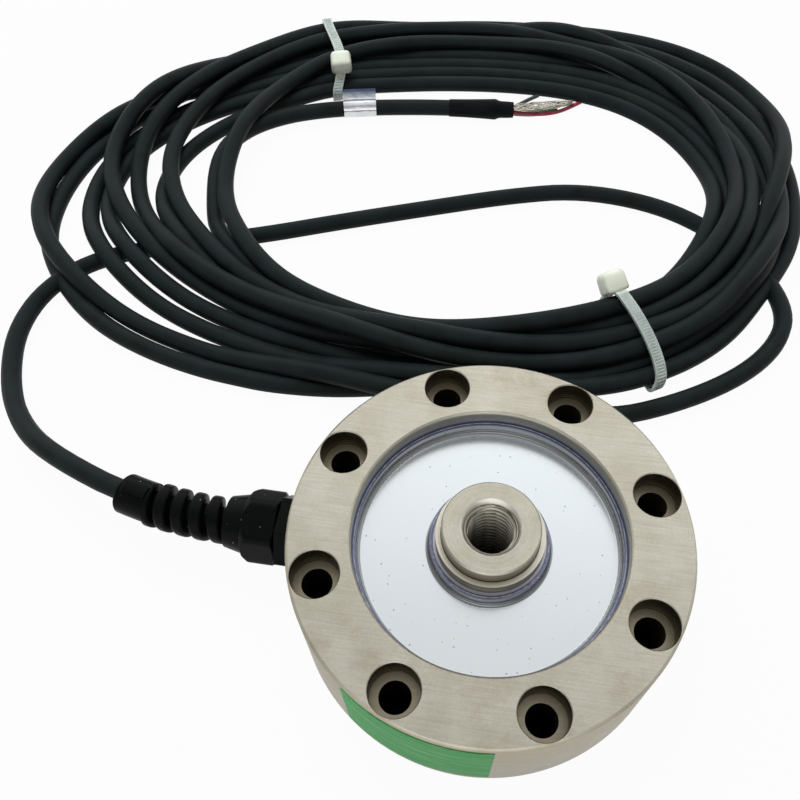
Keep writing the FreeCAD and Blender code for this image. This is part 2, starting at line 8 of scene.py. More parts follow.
# %% Load the frame
import math
import bpy
import numpy as np
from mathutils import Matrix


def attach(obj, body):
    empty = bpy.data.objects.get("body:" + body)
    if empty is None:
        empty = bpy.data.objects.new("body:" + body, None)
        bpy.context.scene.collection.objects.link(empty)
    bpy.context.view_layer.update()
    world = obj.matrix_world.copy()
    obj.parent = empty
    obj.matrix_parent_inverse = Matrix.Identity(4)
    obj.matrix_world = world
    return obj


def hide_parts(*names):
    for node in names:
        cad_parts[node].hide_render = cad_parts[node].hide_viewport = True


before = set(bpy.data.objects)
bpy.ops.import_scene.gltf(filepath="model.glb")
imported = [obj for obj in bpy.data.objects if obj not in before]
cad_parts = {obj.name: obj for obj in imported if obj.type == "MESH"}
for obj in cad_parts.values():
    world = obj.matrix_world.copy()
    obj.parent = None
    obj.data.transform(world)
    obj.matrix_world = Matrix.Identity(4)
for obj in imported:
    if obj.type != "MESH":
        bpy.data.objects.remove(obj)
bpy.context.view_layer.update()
scene = bpy.context.scene
mm = 0.001
print("CAD nodes:", len(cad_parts))

# %% [markdown]
# ## The camera
# The photograph was taken by hand from close above the front of the body, so near things look larger
# than far ones. A lens position, three angles and a focal length describe such a view completely.
# The picture was trimmed after it was taken, and the small shift stands for that trim.

# %% Place the camera
camera = bpy.data.objects.new("camera", bpy.data.cameras.new("camera"))
scene.collection.objects.link(camera)
camera.location = (-0.33 * mm, -80.59 * mm, 211.94 * mm)
camera.rotation_euler = [math.radians(a) for a in (33.411, -0.6415, 8.4724)]
camera.data.sensor_width = 36.0
camera.data.lens = 39.32
camera.data.clip_start = 0.01
camera.data.shift_x, camera.data.shift_y = -0.05685, -0.0220
scene.camera = camera
print("camera stands", round(camera.location.length, 3), "m from the body's foot")

# %% [markdown]
# ## The cable's line
# The cable leaves the strain relief, sinks to the bench, passes under the coil, crosses the coil's
# eye, makes one wide bend behind the right-hand side and then starts to wind. Its points there are
# listed. The wound part is a loop: every turn is the coil's oval eye plus an offset at each
# of nineteen directions round it, so that the turns fan out on the left and draw together at the ties.

# %% The lead and the tail, points in millimetres
cable_diameter = 5.5
lead_points = np.array([
    (-42.5, 0, 15), (-80.5, 0, 15), (-116.2, 12.55, 11.64), (-131.5, 24, 6.5), (-141.5, 38.5, 3.3),
    (-147, 56, 2.75), (-144, 73, 2.75), (-132, 86.5, 2.75), (-110, 95, 2.75), (-86, 102.8, 2.75),
    (-60, 113.5, 2.75), (-34, 123.5, 2.75), (-9, 133, 2.75), (14, 139.5, 2.75), (39, 137.5, 2.75),
    (58.5, 128.5, 2.75), (73, 114, 2.75), (80.5, 98, 2.75), (77, 84.5, 2.75), (66, 71.5, 2.75),
    (48, 59.5, 2.75), (27, 50.5, 2.75), (7, 53.5, 2.75), (-12, 55.5, 2.75), (-31, 53, 2.75),
    (-50, 49, 2.75), (-68, 48, 2.75)])
tail_points = np.array([
    (-107.5, 131, 7), (-103.5, 146, 6), (-92.5, 157.5, 4.8), (-76, 165.2, 4), (-57, 169.8, 3.6),
    (-37, 173, 3.6), (-18, 175, 3.6)])
print("lead points:", len(lead_points), "tail points:", len(tail_points))

# %% The coil's turns, one row of offsets for each
coil_centre = np.array([-21.2, 133.3])
eye_half_long, eye_half_short, eye_tilt = 83.0, 55.3, 5.8
station_angles = np.array([270, 240, 220, 205, 195, 185, 175, 165, 150, 135, 100, 70, 50, 35, 20, 5,
                           -15, -35, -60], float)
turn_offsets = np.array([
    [30, 37, 49, 56, 56.5, 52, 44, 37, 30, 27, 22.5, 33, 39, 36.5, 30, 23.5, 23.5, 27, 27.5],
    [28, 31.5, 42, 53, 59, 55.5, 46, 37, 27, 21.5, 16, 19.5, 23.5, 23.5, 20.5, 18, 18.5, 22, 23],
    [24.5, 26.3, 32.6, 40.5, 44, 42.5, 35.5, 27.5, 20, 16, 10, 12, 14, 13, 10, 8.5, 9, 12, 14],
    [15, 14, 14, 16, 20.5, 22.8, 16, 10.5, 7, 5, 0, 3, 5.5, 7, 3, -2, 0.5, 4, 9],
    [14, 19, 25.5, 33, 38, 38.5, 30, 21.5, 13.5, 10.5, 5, 7.5, 10, 10, 6.5, 3, 4.5, 8, 11],
    [12.5, 14.5, 17, 23, 32.5, 39.5, 40.9, 37.5, 34, 32, 28, 32, 33, 28, 21, 17, 17.5, 20, 18],
    [16, 14, 14, 20, 27, 30.5, 32.5, 33, 33, 33.5, 33, 39, 46.5, 45, 29, 14.5, 12.5, 15.5, 14],
    [12, 10.5, 9.5, 12, 15, 19, 22, 24, 26.5, 28.5, 26.5, 26, 24.2, 17, 9.5, 4.5, 3.5, 6.5, 8.5],
    [8, 7, 5, 3.5, 0, -1.4, -0.5, 3.5, 12, 17.5, 18.5, 20, 20.5, 17.5, 12.5, 9.5, 8.5, 11, 11.5]])
turn_heights = np.array([3.0, 7.0, 3.0, 3.0, 3.0, 8.0, 9.0, 13.0, 10.0])
last_offsets, last_height = np.array([9.0, 7.5, 5.5, 4.0, 4.5]), 5.0
print("turns:", len(turn_offsets), "with", len(station_angles), "stations each")


# %% Wind the coil
def through(stations, values, query):
    """A smooth curve through the values: cubic pieces whose slope at a station comes from its two neighbours."""
    slopes = np.gradient(values, stations)
    k = np.clip(np.searchsorted(stations, query, "right") - 1, 0, len(stations) - 2)
    width = stations[k + 1] - stations[k]
    t = (query - stations[k]) / width
    return ((2 * t**3 - 3 * t**2 + 1) * values[k] + (t**3 - 2 * t**2 + t) * width * slopes[k]
            + (3 * t**2 - 2 * t**3) * values[k + 1] + (t**3 - t**2) * width * slopes[k + 1])


def run_along(line):
    """The distance run so far at each point of a line: the sum of the steps before it."""
    return np.concatenate([[0], np.cumsum(np.linalg.norm(np.diff(line, axis=0), axis=1))])


def read_off(line, stations, wanted):
    """The points of a line at the wanted stations, each a straight mix of its two neighbours."""
    return np.column_stack([np.interp(wanted, stations, line[:, axis]) for axis in range(line.shape[1])])


def even_steps(line, spacing):
    """Points at equal distances along a line."""
    run = run_along(line)
    return read_off(line, run, np.linspace(0, run[-1], max(int(run[-1] / spacing), 2)))


def wind_coil(first_angle, spacing):
    """Turn by turn, radius = the tilted oval's radius in that direction + the offset; then even steps."""
    angles, offsets, heights = [], [], []
    for turn, row in enumerate(turn_offsets):
        angles.extend(360.0 * turn - station_angles)
        offsets.extend(row)
        heights.extend([turn_heights[turn]] * len(row))
    extra = len(last_offsets)
    angles = np.array(angles + list(360.0 * len(turn_offsets) - station_angles[:extra]))
    offsets = np.concatenate([offsets, last_offsets])
    heights = np.array(heights + [last_height] * extra)
    query = np.arange(-first_angle, angles[-1], 1.0)
    bearing = np.radians(-query)
    lean = bearing - math.radians(eye_tilt)
    eye = eye_half_long * eye_half_short / np.hypot(eye_half_short * np.cos(lean), eye_half_long * np.sin(lean))
    radius = eye + through(angles, offsets, query)
    spiral = coil_centre + radius[:, None] * np.column_stack([np.cos(bearing), np.sin(bearing)])
    return even_steps(np.column_stack([spiral, through(angles, heights, query)]), spacing)


coil_start = wind_coil(first_angle=236.0, spacing=4.0)
print("wound points:", len(coil_start))

# %% [markdown]
# A cable is one smooth line, so it is drawn as a NURBS curve with the points as its control points.
# The same curve without thickness is read back wherever something has to follow the cable.


# %% A curve through control points, and the line that it makes
def cable_curve(name, points, depth=0.0, steps=6):
    """One open NURBS spline of order 3 that starts and ends on its end points. Its points carry the tube's radius,
    and the bevel of 1 m is scaled by it, so that the curve's box is the tube's box."""
    curve = bpy.data.curves.new(name, "CURVE")
    curve.dimensions = "3D"
    spline = curve.splines.new("NURBS")
    spline.points.add(len(points) - 1)
    spline.points.foreach_set("co", np.column_stack([np.asarray(points) * mm, np.ones(len(points))]).ravel())
    spline.order_u = 3
    spline.use_endpoint_u = True
    spline.resolution_u = steps
    spline.use_smooth = True
    spline.points.foreach_set("radius", np.full(len(points), depth * mm))
    curve.bevel_depth = 1.0 if depth > 0 else 0.0
    curve.bevel_resolution = 3
    curve.use_fill_caps = depth > 0
    obj = bpy.data.objects.new(name, curve)
    scene.collection.objects.link(obj)
    return obj


def line_of(points, steps=6):
    """The smooth line, in millimetres, that a NURBS curve with these control points follows."""
    guide = cable_curve("guide", points, steps=steps)
    mesh = bpy.data.meshes.new_from_object(guide.evaluated_get(bpy.context.evaluated_depsgraph_get()))
    line = np.empty(len(mesh.vertices) * 3)
    mesh.vertices.foreach_get("co", line)
    bpy.data.objects.remove(guide)
    bpy.data.meshes.remove(mesh)
    return line.reshape(-1, 3) / mm


lead_line, tail_line = line_of(lead_points), line_of(tail_points)
print("lead line:", len(lead_line), "points, tail line:", len(tail_line))

# %% [markdown]
# ## Let the coil settle
# Nine turns laid as listed would cross each other like ghosts. A real cable rests on the bench and on the
# turns below it, and it keeps its bends even because it is stiff. A small loop of gravity, evening and
# pushing apart finds such a shape. Two straps pass under the turns, so the turns lie a strap higher there.

# %% Where the two ties cross the coil
strap_thickness = 1.1
tie_places = {
    "cable_tie_1": {"centre": (-80.5, 189.0), "across": (12.0, -37.0)},
    "cable_tie_2": {"centre": (33.5, 76.5), "across": (-15.0, 23.0)}}
for place in tie_places.values():
    place["centre"] = np.array(place["centre"])
    place["across"] = np.array(place["across"]) / np.linalg.norm(place["across"])
    place["along"] = np.array([-place["across"][1], place["across"][0]])
print("ties:", list(tie_places))


# %% What a turn does: it evens its bends and rests on the bench or on a strap
evening_share = 0.11
tie_reach, hump_length = 30.0, 10.0


def even_bends(line, times):
    """Moves each point a little against the line's fourth difference, many times over, which evens its bends."""
    for _ in range(times):
        line[2:-2] -= evening_share * (line[:-4] - 4 * line[1:-3] + 6 * line[2:-2] - 4 * line[3:-1] + line[4:])


def bench_height(places):
    """The least height of a turn's centre: a radius, and a strap more in a soft hump where a tie is under it."""
    height = np.full(len(places), cable_diameter / 2)
    for tie in tie_places.values():
        apart = places - tie["centre"]
        near = np.abs(apart @ tie["across"]) < tie_reach
        height += near * strap_thickness * np.exp(-((apart @ tie["along"]) / hump_length) ** 2)
    return height


print("a turn's centre lies at", cable_diameter / 2, "mm, over a strap at", cable_diameter / 2 + strap_thickness, "mm")

# %% Settle the turns
rounds, quiet_rounds, rounds_per_search, pushes = 240, 60, 12, 2
first_evening, busy_evening, quiet_evening, last_evening = 2500, 35, 12, 40  # how often the bends are evened
sink, pull_home, push_share = 0.05, 0.05, 0.8  # mm down, share of the way home, share of an overlap undone
eased_points, own_neighbours, order_gap = 8.0, 6, 100  # ends that ease in, points too close along to push


def settle(turns, others):
    """Each round lowers the turns, evens their bends, draws them back to their place in plan and pushes apart
    any two points of different stretches that are nearer than a cable's diameter."""
    count = len(turns)
    line = np.concatenate([turns, others])
    even_bends(line[:count], first_evening)
    home = line[:count, :2].copy()
    bench = np.concatenate([bench_height(home), np.full(len(others), cable_diameter / 2)])
    ease = np.clip(np.minimum(np.arange(count), np.arange(count)[::-1]) / eased_points, 0, 1)[:, None]
    free = np.concatenate([ease[:, 0], np.zeros(len(others))])
    order = np.concatenate([np.arange(count), count + order_gap + np.arange(len(others))])
    for step in range(rounds):
        if step % rounds_per_search == 0:
            apart = np.linalg.norm(line[:, None] - line[None], axis=2)
            near = (apart < 2 * cable_diameter) & (order[None] - order[:, None] > own_neighbours)
            a, b = np.nonzero(near & (free[:, None] + free[None] > 0))
        even_bends(line[:count], busy_evening if step < rounds - quiet_rounds else quiet_evening)
        line[:, 2] -= sink * free
        line[:count, :2] += pull_home * ease * (home - line[:count, :2])
        for _ in range(pushes):
            apart = line[a] - line[b]
            length = np.maximum(np.linalg.norm(apart, axis=1), 1e-6)
            hit = length < cable_diameter
            share = free[a[hit]] / (free[a[hit]] + free[b[hit]])
            push = apart[hit] / length[hit, None] * (push_share * (cable_diameter - length[hit]))[:, None]
            times = np.bincount(a[hit], minlength=len(line)) + np.bincount(b[hit], minlength=len(line))
            for axis in range(3):
                move = (np.bincount(a[hit], push[:, axis] * share, len(line))
                        - np.bincount(b[hit], push[:, axis] * (1 - share), len(line)))
                line[:, axis] += move / np.sqrt(np.maximum(times, 1))
            line[:count, 2] = np.maximum(line[:count, 2], bench[:count])
    even_bends(line[:count], last_evening)
    line[:count, 2] = np.maximum(line[:count, 2], bench[:count])
    nearest = np.linalg.norm(line[a] - line[b], axis=1).min()
    print("nearest turns", round(nearest, 2), "mm; highest", round(line[:, 2].max(), 1), "mm")
    return line[:count]


coil_points = settle(coil_start, np.concatenate([lead_line, tail_line]))

# %% The cable itself
coil_control = coil_points[::2]
cable_points = np.concatenate([lead_points, coil_control, tail_points])
cable = cable_curve("signal_cable", cable_points, cable_diameter / 2)
cable_line, coil_line = line_of(cable_points, steps=4), line_of(coil_control, steps=4)
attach(cable, "root")
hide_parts("cable_lead", "cable_coil", "cable_tail")

# %% [markdown]
# ## Surfaces from numbers
# Every new piece below is a grid of points: rows that follow a line or a height, and columns that go
# round a section. One helper joins the grid into faces, closes the ends and turns the faces outwards.
# It also keeps two numbers for each corner, the distance round and the distance along, as a UV map.


# %% From grids of points to one piece
def grid_piece(name, grids, stands_for=(), sharp=40.0):
    """Joins grids of shape (rows, columns, 3) into quads; columns close round, rows close if they end where they
    start, else each end gets a cap. The signed volume, the sum of a.(b x c), tells which way a grid faces."""
    corners, faces, uvs, first = [], [], [], 0
    for grid in grids:
        closed = np.allclose(grid[0], grid[-1])
        grid = grid[:-1] if closed else grid
        rows, columns = grid.shape[:2]
        i, j = np.meshgrid(np.arange(rows if closed else rows - 1), np.arange(columns), indexing="ij")
        up, right = (i + 1) % rows, (j + 1) % columns
        quads = np.stack([i * columns + j, i * columns + right, up * columns + right, up * columns + j], -1)
        quads = quads.reshape(-1, 4)
        flat = grid.reshape(-1, 3)
        a, b, c, d = (flat[quads[:, k]] for k in range(4))
        volume = np.einsum("ij,ij->", a, np.cross(b, c)) + np.einsum("ij,ij->", a, np.cross(c, d))
        first_row, middles = grid[0], grid.mean(axis=1)
        round_run, along_run = (run_along(np.concatenate([loop, loop[:1]])) for loop in (first_row, middles))
        u = np.stack([round_run[j], round_run[j + 1], round_run[j + 1], round_run[j]], -1).reshape(-1, 4)
        v = np.stack([along_run[i], along_run[i], along_run[i + 1], along_run[i + 1]], -1).reshape(-1, 4)
        turn = slice(None, None, -1) if volume < 0 else slice(None)
        faces += (first + quads[:, turn]).tolist()
        uvs.append(np.stack([u[:, turn], v[:, turn]], -1).reshape(-1, 2))
        if not closed:
            for row, way in ((0, -1), (rows - 1, 1)):
                cap = (row * columns + np.arange(columns))[::way * (-1 if volume < 0 else 1)]
                faces.append((first + cap).tolist())
                uvs.append(np.column_stack([np.zeros(columns), np.full(columns, along_run[row])]))
        corners.append(flat)
        first += rows * columns
    mesh = bpy.data.meshes.new(name)
    mesh.from_pydata(np.concatenate(corners) * mm, [], faces)
    mesh.uv_layers.new(name="run").data.foreach_set("uv", np.concatenate(uvs).ravel().astype(np.float32))
    mesh.polygons.foreach_set("use_smooth", np.ones(len(faces), bool))
    mesh.set_sharp_from_angle(angle=math.radians(sharp))
    piece = bpy.data.objects.new(name, mesh)
    scene.collection.objects.link(piece)
    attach(piece, "root")
    if stands_for:
        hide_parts(*stands_for)
    print(name, len(faces), "faces")
    return piece


# %% Directions along a line, rings round it and a stretch of it
def frames_of(line):
    """At each point: the way ahead, sideways = straight up x ahead, and upwards = ahead x sideways."""
    ahead = np.gradient(line, axis=0)
    ahead /= np.linalg.norm(ahead, axis=1)[:, None]
    side = np.cross([0.0, 0.0, 1.0], ahead)
    side /= np.linalg.norm(side, axis=1)[:, None]
    return ahead, side, np.cross(ahead, side)


def full_turn(columns):
    """Angles round a full turn, without the last one, which is the first again."""
    return np.linspace(0, 2 * math.pi, columns, endpoint=False)


def rings(centres, side, up, radii):
    """A ring of points round each centre: centre + radius (side cos t + up sin t), with its own radius each."""
    t = full_turn(radii.shape[1])[:, None]
    return centres[:, None] + radii[..., None] * (side[:, None] * np.cos(t) + up[:, None] * np.sin(t))


def round_rod(line, radius, columns):
    """A round section of one radius carried along a line."""
    _, side, up = frames_of(line)
    return rings(line, side, up, np.full((len(line), columns), radius))


def stretch(line, start, end, spacing=0.5, overrun=30.0):
    """The part of a line between two distances from its end, which is 0, in even steps; past it the line is
    straight for the overrun."""
    ahead = (line[-1] - line[-2]) / np.linalg.norm(line[-1] - line[-2])
    even = even_steps(np.concatenate([line, line[-1] + ahead * overrun * np.array([[0.5], [1.0]])]), 0.25)
    distance = np.linspace(overrun - run_along(even)[-1], overrun, len(even))
    return read_off(even, distance, np.linspace(start, end, int(abs(end - start) / spacing) + 1))


print("tail runs from", np.round(tail_line[0], 1), "to", np.round(tail_line[-1], 1))

# %% [markdown]
# ## Cable ties
# A tie is a ribbed nylon strap that is pulled tight round the turns, and a moulded head that grips it. A
# tight strap takes the shortest way round: in every direction it touches the farthest turn. So its path is
# the farthest turn's centre plus a cable's radius, direction by direction, and the strap's section with its
# ribs is carried along that path. The head is a rounded block that sits on the path.


# %% The path of a tight strap
def strap_path(tie, spacing, slack, reach=26.0, stiff_degrees=14):
    """Finds where the coil passes through the tie's plane. In a direction e the strap's distance h is the farthest
    crossing's + a cable's radius + half a strap, averaged over the directions near e because a strap is stiff,
    and raised until it clears every turn by the slack. The path is h e + h' e', in even steps; also gives its
    outward direction."""
    beside = (coil_line[:, :2] - tie["centre"]) @ tie["along"]
    k = np.nonzero(beside[:-1] * beside[1:] < 0)[0]
    share = (beside[k] / (beside[k] - beside[k + 1]))[:, None]
    hits = coil_line[k] * (1 - share) + coil_line[k + 1] * share
    spots = np.column_stack([(hits[:, :2] - tie["centre"]) @ tie["across"], hits[:, 2]])
    spots = spots[np.abs(spots[:, 0]) < reach]
    middle = spots.mean(axis=0)
    degree = np.arange(360)
    e = np.column_stack([np.cos(np.radians(degree)), np.sin(np.radians(degree))])
    tight = ((spots - middle) @ e.T).max(axis=0) + (cable_diameter + strap_thickness) / 2
    nearby = np.arange(-stiff_degrees, stiff_degrees + 1)
    h = tight[(degree[:, None] + nearby) % 360].mean(axis=1)
    h += (tight - h).max() + slack
    slope = (np.roll(h, -1) - np.roll(h, 1)) / math.radians(2)
    path = middle + h[:, None] * e + slope[:, None] * np.column_stack([-e[:, 1], e[:, 0]])
    path[:, 1] = np.maximum(path[:, 1], strap_thickness / 2)
    path = even_steps(np.concatenate([path, path[:1]]), spacing)
    way = np.gradient(np.concatenate([path[-3:-1], path, path[1:3]]), axis=0)[2:-2]
    way /= np.linalg.norm(way, axis=1)[:, None]
    print("turns in the tie:", len(spots), "strap", round(spacing * len(path)), "mm")
    return path, np.column_stack([way[:, 1], -way[:, 0]])


# %% Straps with ribs, and heads
strap_width, strap_edge, rib_spacing, rib_depth, rib_reach, steps_per_rib = 3.4, 0.12, 0.9, 0.25, 1.1, 6
head_long, head_wide, head_squareness = 6.6, 7.4, 5
head_rows = np.array([
    (0, 0.7), (0.1, 0.3), (0.4, 0.05), (1.0, 0), (4.6, 0.1), (5.5, 0.35), (6.0, 0.7), (6.3, 1.2), (6.4, 1.8)])


def sideways_bow(path, outward, bow, skew):
    """How far a strap leaves its plane: bow x sin(pi share^skew) on the upper side, with share from end to end."""
    share = (path[:, 0] - path[:, 0].min()) / np.ptp(path[:, 0])
    return bow * np.sin(math.pi * share**skew) * (outward[:, 1] > 0)


def in_tie(tie, place, sideways):
    """From the tie's plane to the object: x runs across the coil, sideways along it, and y is the height."""
    plan = tie["centre"] + place[..., :1] * tie["across"] + sideways[..., None] * tie["along"]
    return np.concatenate([plan, place[..., 1:]], axis=-1)


def strap_grid(tie, path, outward, bent):
    """Section points (across the strap w, outward h) at each row; h of the outer face inside the smooth borders
    drops by a ramp that starts again at every rib."""
    half, thick, edge = strap_width / 2, strap_thickness / 2, strap_edge
    w = np.array([-half, edge - half, -rib_reach - edge, -rib_reach, 0, rib_reach, rib_reach + edge, half - edge, half,
                  half, half - edge, 0, edge - half, -half])
    h = np.array([thick - edge, *[thick] * 7, thick - edge, edge - thick, -thick, -thick, -thick, edge - thick])
    ribbed = np.isin(np.arange(len(w)), (3, 4, 5))
    ramp = (np.arange(len(path)) % steps_per_rib) / (steps_per_rib - 1)
    height = h[None] - rib_depth * ribbed[None] * ramp[:, None]
    height[-1] = height[0]
    place = path[:, None] + outward[:, None] * height[..., None]
    return in_tie(tie, place, w[None, :] + bent[:, None])


def head_grid(tie, path, outward, bent, head_angle):
    """Rounded block: rows rise outwards, each a superellipse |x/a|^5 + |y/b|^5 = 1 drawn in by the row's inset."""
    at = np.argmin(np.abs(np.arctan2(outward[:, 1], outward[:, 0]) - math.radians(head_angle)))
    out, ahead = outward[at], np.array([-outward[at][1], outward[at][0]])
    t = full_turn(48)
    x, y = (np.sign(wave) * np.abs(wave) ** (2 / head_squareness) for wave in (np.cos(t), np.sin(t)))
    rise, inset = head_rows[:, 0] - strap_thickness / 2, head_rows[:, 1]
    along_strap = (head_long / 2 - inset)[:, None] * x
    across_strap = (head_wide / 2 - inset)[:, None] * y + bent[at]
    return in_tie(tie, path[at] + along_strap[..., None] * ahead + rise[:, None, None] * out, across_strap)


# %% Two ties: slack over the turns, sideways bow and its skew, and where the head sits
tie_shapes = {"cable_tie_1": (0.2, 2.9, 2.0, 66.0), "cable_tie_2": (0.8, -1.7, 0.5, 36.0)}
ties, head_places = [], []
for name, (slack, bow, skew, head_angle) in tie_shapes.items():
    tie = tie_places[name]
    path, outward = strap_path(tie, rib_spacing / steps_per_rib, slack)
    bent = sideways_bow(path, outward, bow, skew)
    strap, head = strap_grid(tie, path, outward, bent), head_grid(tie, path, outward, bent, head_angle)
    head_places.append(head.mean(axis=(0, 1)))
    ties.append(grid_piece("nylon_" + name, [strap, head], [name]))

# %% [markdown]
# ## The cable's far end
# The jacket ends under a short heat-shrink sleeve. Out of the sleeve come four thin cores and the screen,
# a braid of tinned wires that was combed out and twisted. A foil marker is folded round the cable and its
# two ends are pressed together. All of these are sections carried along lines: the sleeve and the marker along
# the cable's own line, the cores and the screen along their own.

# %% Heat-shrink sleeve
sleeve_start, sleeve_end, sleeve_columns = -18.0, 8.0, 40
sleeve_rows = np.array([
    (-16.5, 2.85), (-16.4, 3.0), (-15.5, 3.04), (-11.0, 3.12), (-6.0, 3.3), (-2.5, 3.46), (-0.7, 3.56), (0.1, 3.56),
    (0.7, 3.3), (1.3, 3.02), (2.2, 2.9), (4.5, 2.85), (6.3, 2.72), (6.6, 2.6), (6.6, 2.2), (5.5, 2.15), (1.0, 2.2)])
sleeve_line = stretch(tail_line, sleeve_start, sleeve_end)
sleeve_at = read_off(sleeve_line, np.linspace(sleeve_start, sleeve_end, len(sleeve_line)), sleeve_rows[:, 0])
_, side, up = (np.tile(v[len(v) // 2], (len(sleeve_rows), 1)) for v in frames_of(sleeve_line))
t = full_turn(sleeve_columns)
wrinkle = 1 + 0.008 * np.sin(5 * t + 0.6) + 0.006 * np.sin(9 * t)  # shallow waves round the sleeve
sleeve_grid = rings(sleeve_at, side, up, sleeve_rows[:, 1:] * wrinkle)
sleeve = grid_piece("heat_shrink_sleeve", [sleeve_grid], ["shrink_sleeve"])

# %% Cores, points in millimetres
core_points = {
    "red": [(-12.4, 174.35, 3.45), (-7.9, 175.4, 2.8), (-2.9, 176.6, 2.0), (2.5, 178.7, 1.5), (7.4, 182.0, 1.3),
            (12.4, 187.0, 1.2)],
    "black": [(-12.4, 176.85, 3.45), (-9.6, 179.0, 3.5), (-6.8, 182.6, 3.2), (-3.4, 186.6, 2.4)],
    "green": [(-12.4, 175.0, 2.45), (-6.5, 176.4, 1.4), (-1.0, 178.8, 0.8), (4.0, 182.2, 0.7)],
    "white": [(-12.4, 176.2, 2.45), (-6.5, 177.8, 1.5), (-1.8, 180.2, 0.9), (1.8, 183.2, 0.7)]}
core_radius = 0.68
cores = {}
for name, points in core_points.items():
    rod = round_rod(even_steps(line_of(np.array(points), steps=12), 0.4), core_radius, columns=14)
    cores[name] = grid_piece("core_" + name, [rod], ["end_core_" + name])

# %% Screen: thin wires that twist round each other in a flat bundle
wire_count, wire_radius = 22, 0.17
braid_points = np.array([
    (-12.4, 175.6, 4.55), (-7.0, 176.9, 4.4), (0.4, 179.6, 3.9), (5.8, 182.7, 3.1), (9.2, 185.2, 2.4)])
braid_line = even_steps(line_of(braid_points, steps=16), 0.25)
_, side, up = frames_of(braid_line)
share = np.linspace(0, 1, len(braid_line))
half_width = 1.1 + 1.2 * np.sin(math.pi * share**0.8)
half_height = 0.75 - 0.25 * share


def screen_wire(wire):
    """Every second wire twists the other way: place in the bundle = (width cos a, height sin a) x its own reach,
    where the angle a starts at the wire's share of the turns, grows along the bundle and wavers a little."""
    way = 1 if wire % 2 else -1
    a = 2 * math.pi * wire / wire_count * 5 + way * 6.0 * share + 0.4 * np.sin(9 * share + wire)
    reach = 0.55 + 0.45 * math.sin(2.4 * wire) ** 2
    across, lift = half_width * reach * np.cos(a), half_height * reach * np.sin(a)
    return round_rod(braid_line + side * across[:, None] + up * lift[:, None], wire_radius, columns=6)


wires = [screen_wire(wire) for wire in range(wire_count)]
braid = grid_piece("screen_wires", wires, ["shield_braid"])

# %% Foil marker: a strip that goes down the flag, round the cable and up the flag again
foil, foil_radius, flag_length, lean = 0.16, 2.95, 3.6, math.radians(50.0)
marker_start, marker_end = -54.4, -42.8
marker_line = stretch(tail_line, marker_start, marker_end, spacing=0.9)
_, side, up = frames_of(marker_line)
root_gap = foil / 2 / foil_radius
round_angle = np.linspace(lean + root_gap, lean + 2 * math.pi - root_gap, 60)
ring = foil_radius * np.column_stack([np.cos(round_angle), np.sin(round_angle)])
flag_way, flag_side = np.array([math.cos(lean), math.sin(lean)]), np.array([-math.sin(lean), math.cos(lean)])
flag = np.linspace(foil_radius + flag_length, foil_radius + 0.2, 8)[:, None] * flag_way
strip = np.concatenate([flag + flag_side * foil / 2, ring, (flag - flag_side * foil / 2)[::-1]])
way = np.gradient(strip, axis=0)
normal = np.column_stack([way[:, 1], -way[:, 0]]) / np.linalg.norm(way, axis=1)[:, None]
skin = normal * foil * 0.45  # a little under half the foil, so that the flag's two layers don't touch
section = np.concatenate([strip + skin, (strip - skin)[::-1]])
marker_grid = marker_line[:, None] + section[None, :, :1] * side[:, None] + section[None, :, 1:] * up[:, None]
marker = grid_piece("foil_marker", [marker_grid], ["cable_marker"])

# %% [markdown]
# ## The strain relief
# The gland's cap is one nylon moulding: a hexagon nut, a conical shoulder, a spiral that lets the cable bend
# without kinking, and a plain tail with a key. Its radius depends on the distance along its axis and on the
# direction round it, so one surface makes all four. The axis bends a little where the cable starts to sink.

# %% The axis
nut_length, shoulder_length, flex_length, tail_length = 8.0, 5.0, 28.6, 8.6
straight_length, spiral_length = nut_length + shoulder_length, flex_length - tail_length
bend_radius, droop = 96.98, math.radians(15.0)
cap_start, cap_way = np.array([-50.4, 0.0, 15.0]), np.array([-1.0, 0.0, 0.0])
bend_side = np.array([0.0, math.cos(droop), -math.sin(droop)])


def relief_axis(s):
    """Straight along -X through nut and shoulder, then an arc: place and the two directions across the axis."""
    bend = np.maximum(s - straight_length, 0) / bend_radius
    run = np.minimum(s, straight_length) + bend_radius * np.sin(bend)
    place = cap_start + run[:, None] * cap_way + (bend_radius * (1 - np.cos(bend)))[:, None] * bend_side
    ahead = np.cos(bend)[:, None] * cap_way + np.sin(bend)[:, None] * bend_side
    across = np.cross(cap_way, bend_side)
    return place, np.cross(across, ahead), np.broadcast_to(across, place.shape)


print("the relief ends", np.round(relief_axis(np.array([straight_length + flex_length]))[0][0], 1), "mm")

# %% The radius
nut_radius, nut_corners, nut_turn = 8.0, 24, math.radians(17.0)
cone_radius, cone_start, cone_slope, back_radius, back_slope = 9.24, 6.0, 0.62, 8.5, 1.2
shoulder_radius, shoulder_slope = 7.3, 0.22
spiral_turns, spiral_phase, rib_half_width, rib_foot, rib_height = 4.5, 0.573, 0.37, 3.2, 2.5
tail_radius, tail_rounding, tail_drop = 5.1, 0.9, 0.9
key_height, key_half_width, key_bearing = 0.8, 1.5, math.radians(255)


def soft_step(value, start, end):
    """0 before start, 1 after end, and 3t^2 - 2t^3 between them."""
    t = np.clip((value - start) / (end - start), 0, 1)
    return t * t * (3 - 2 * t)


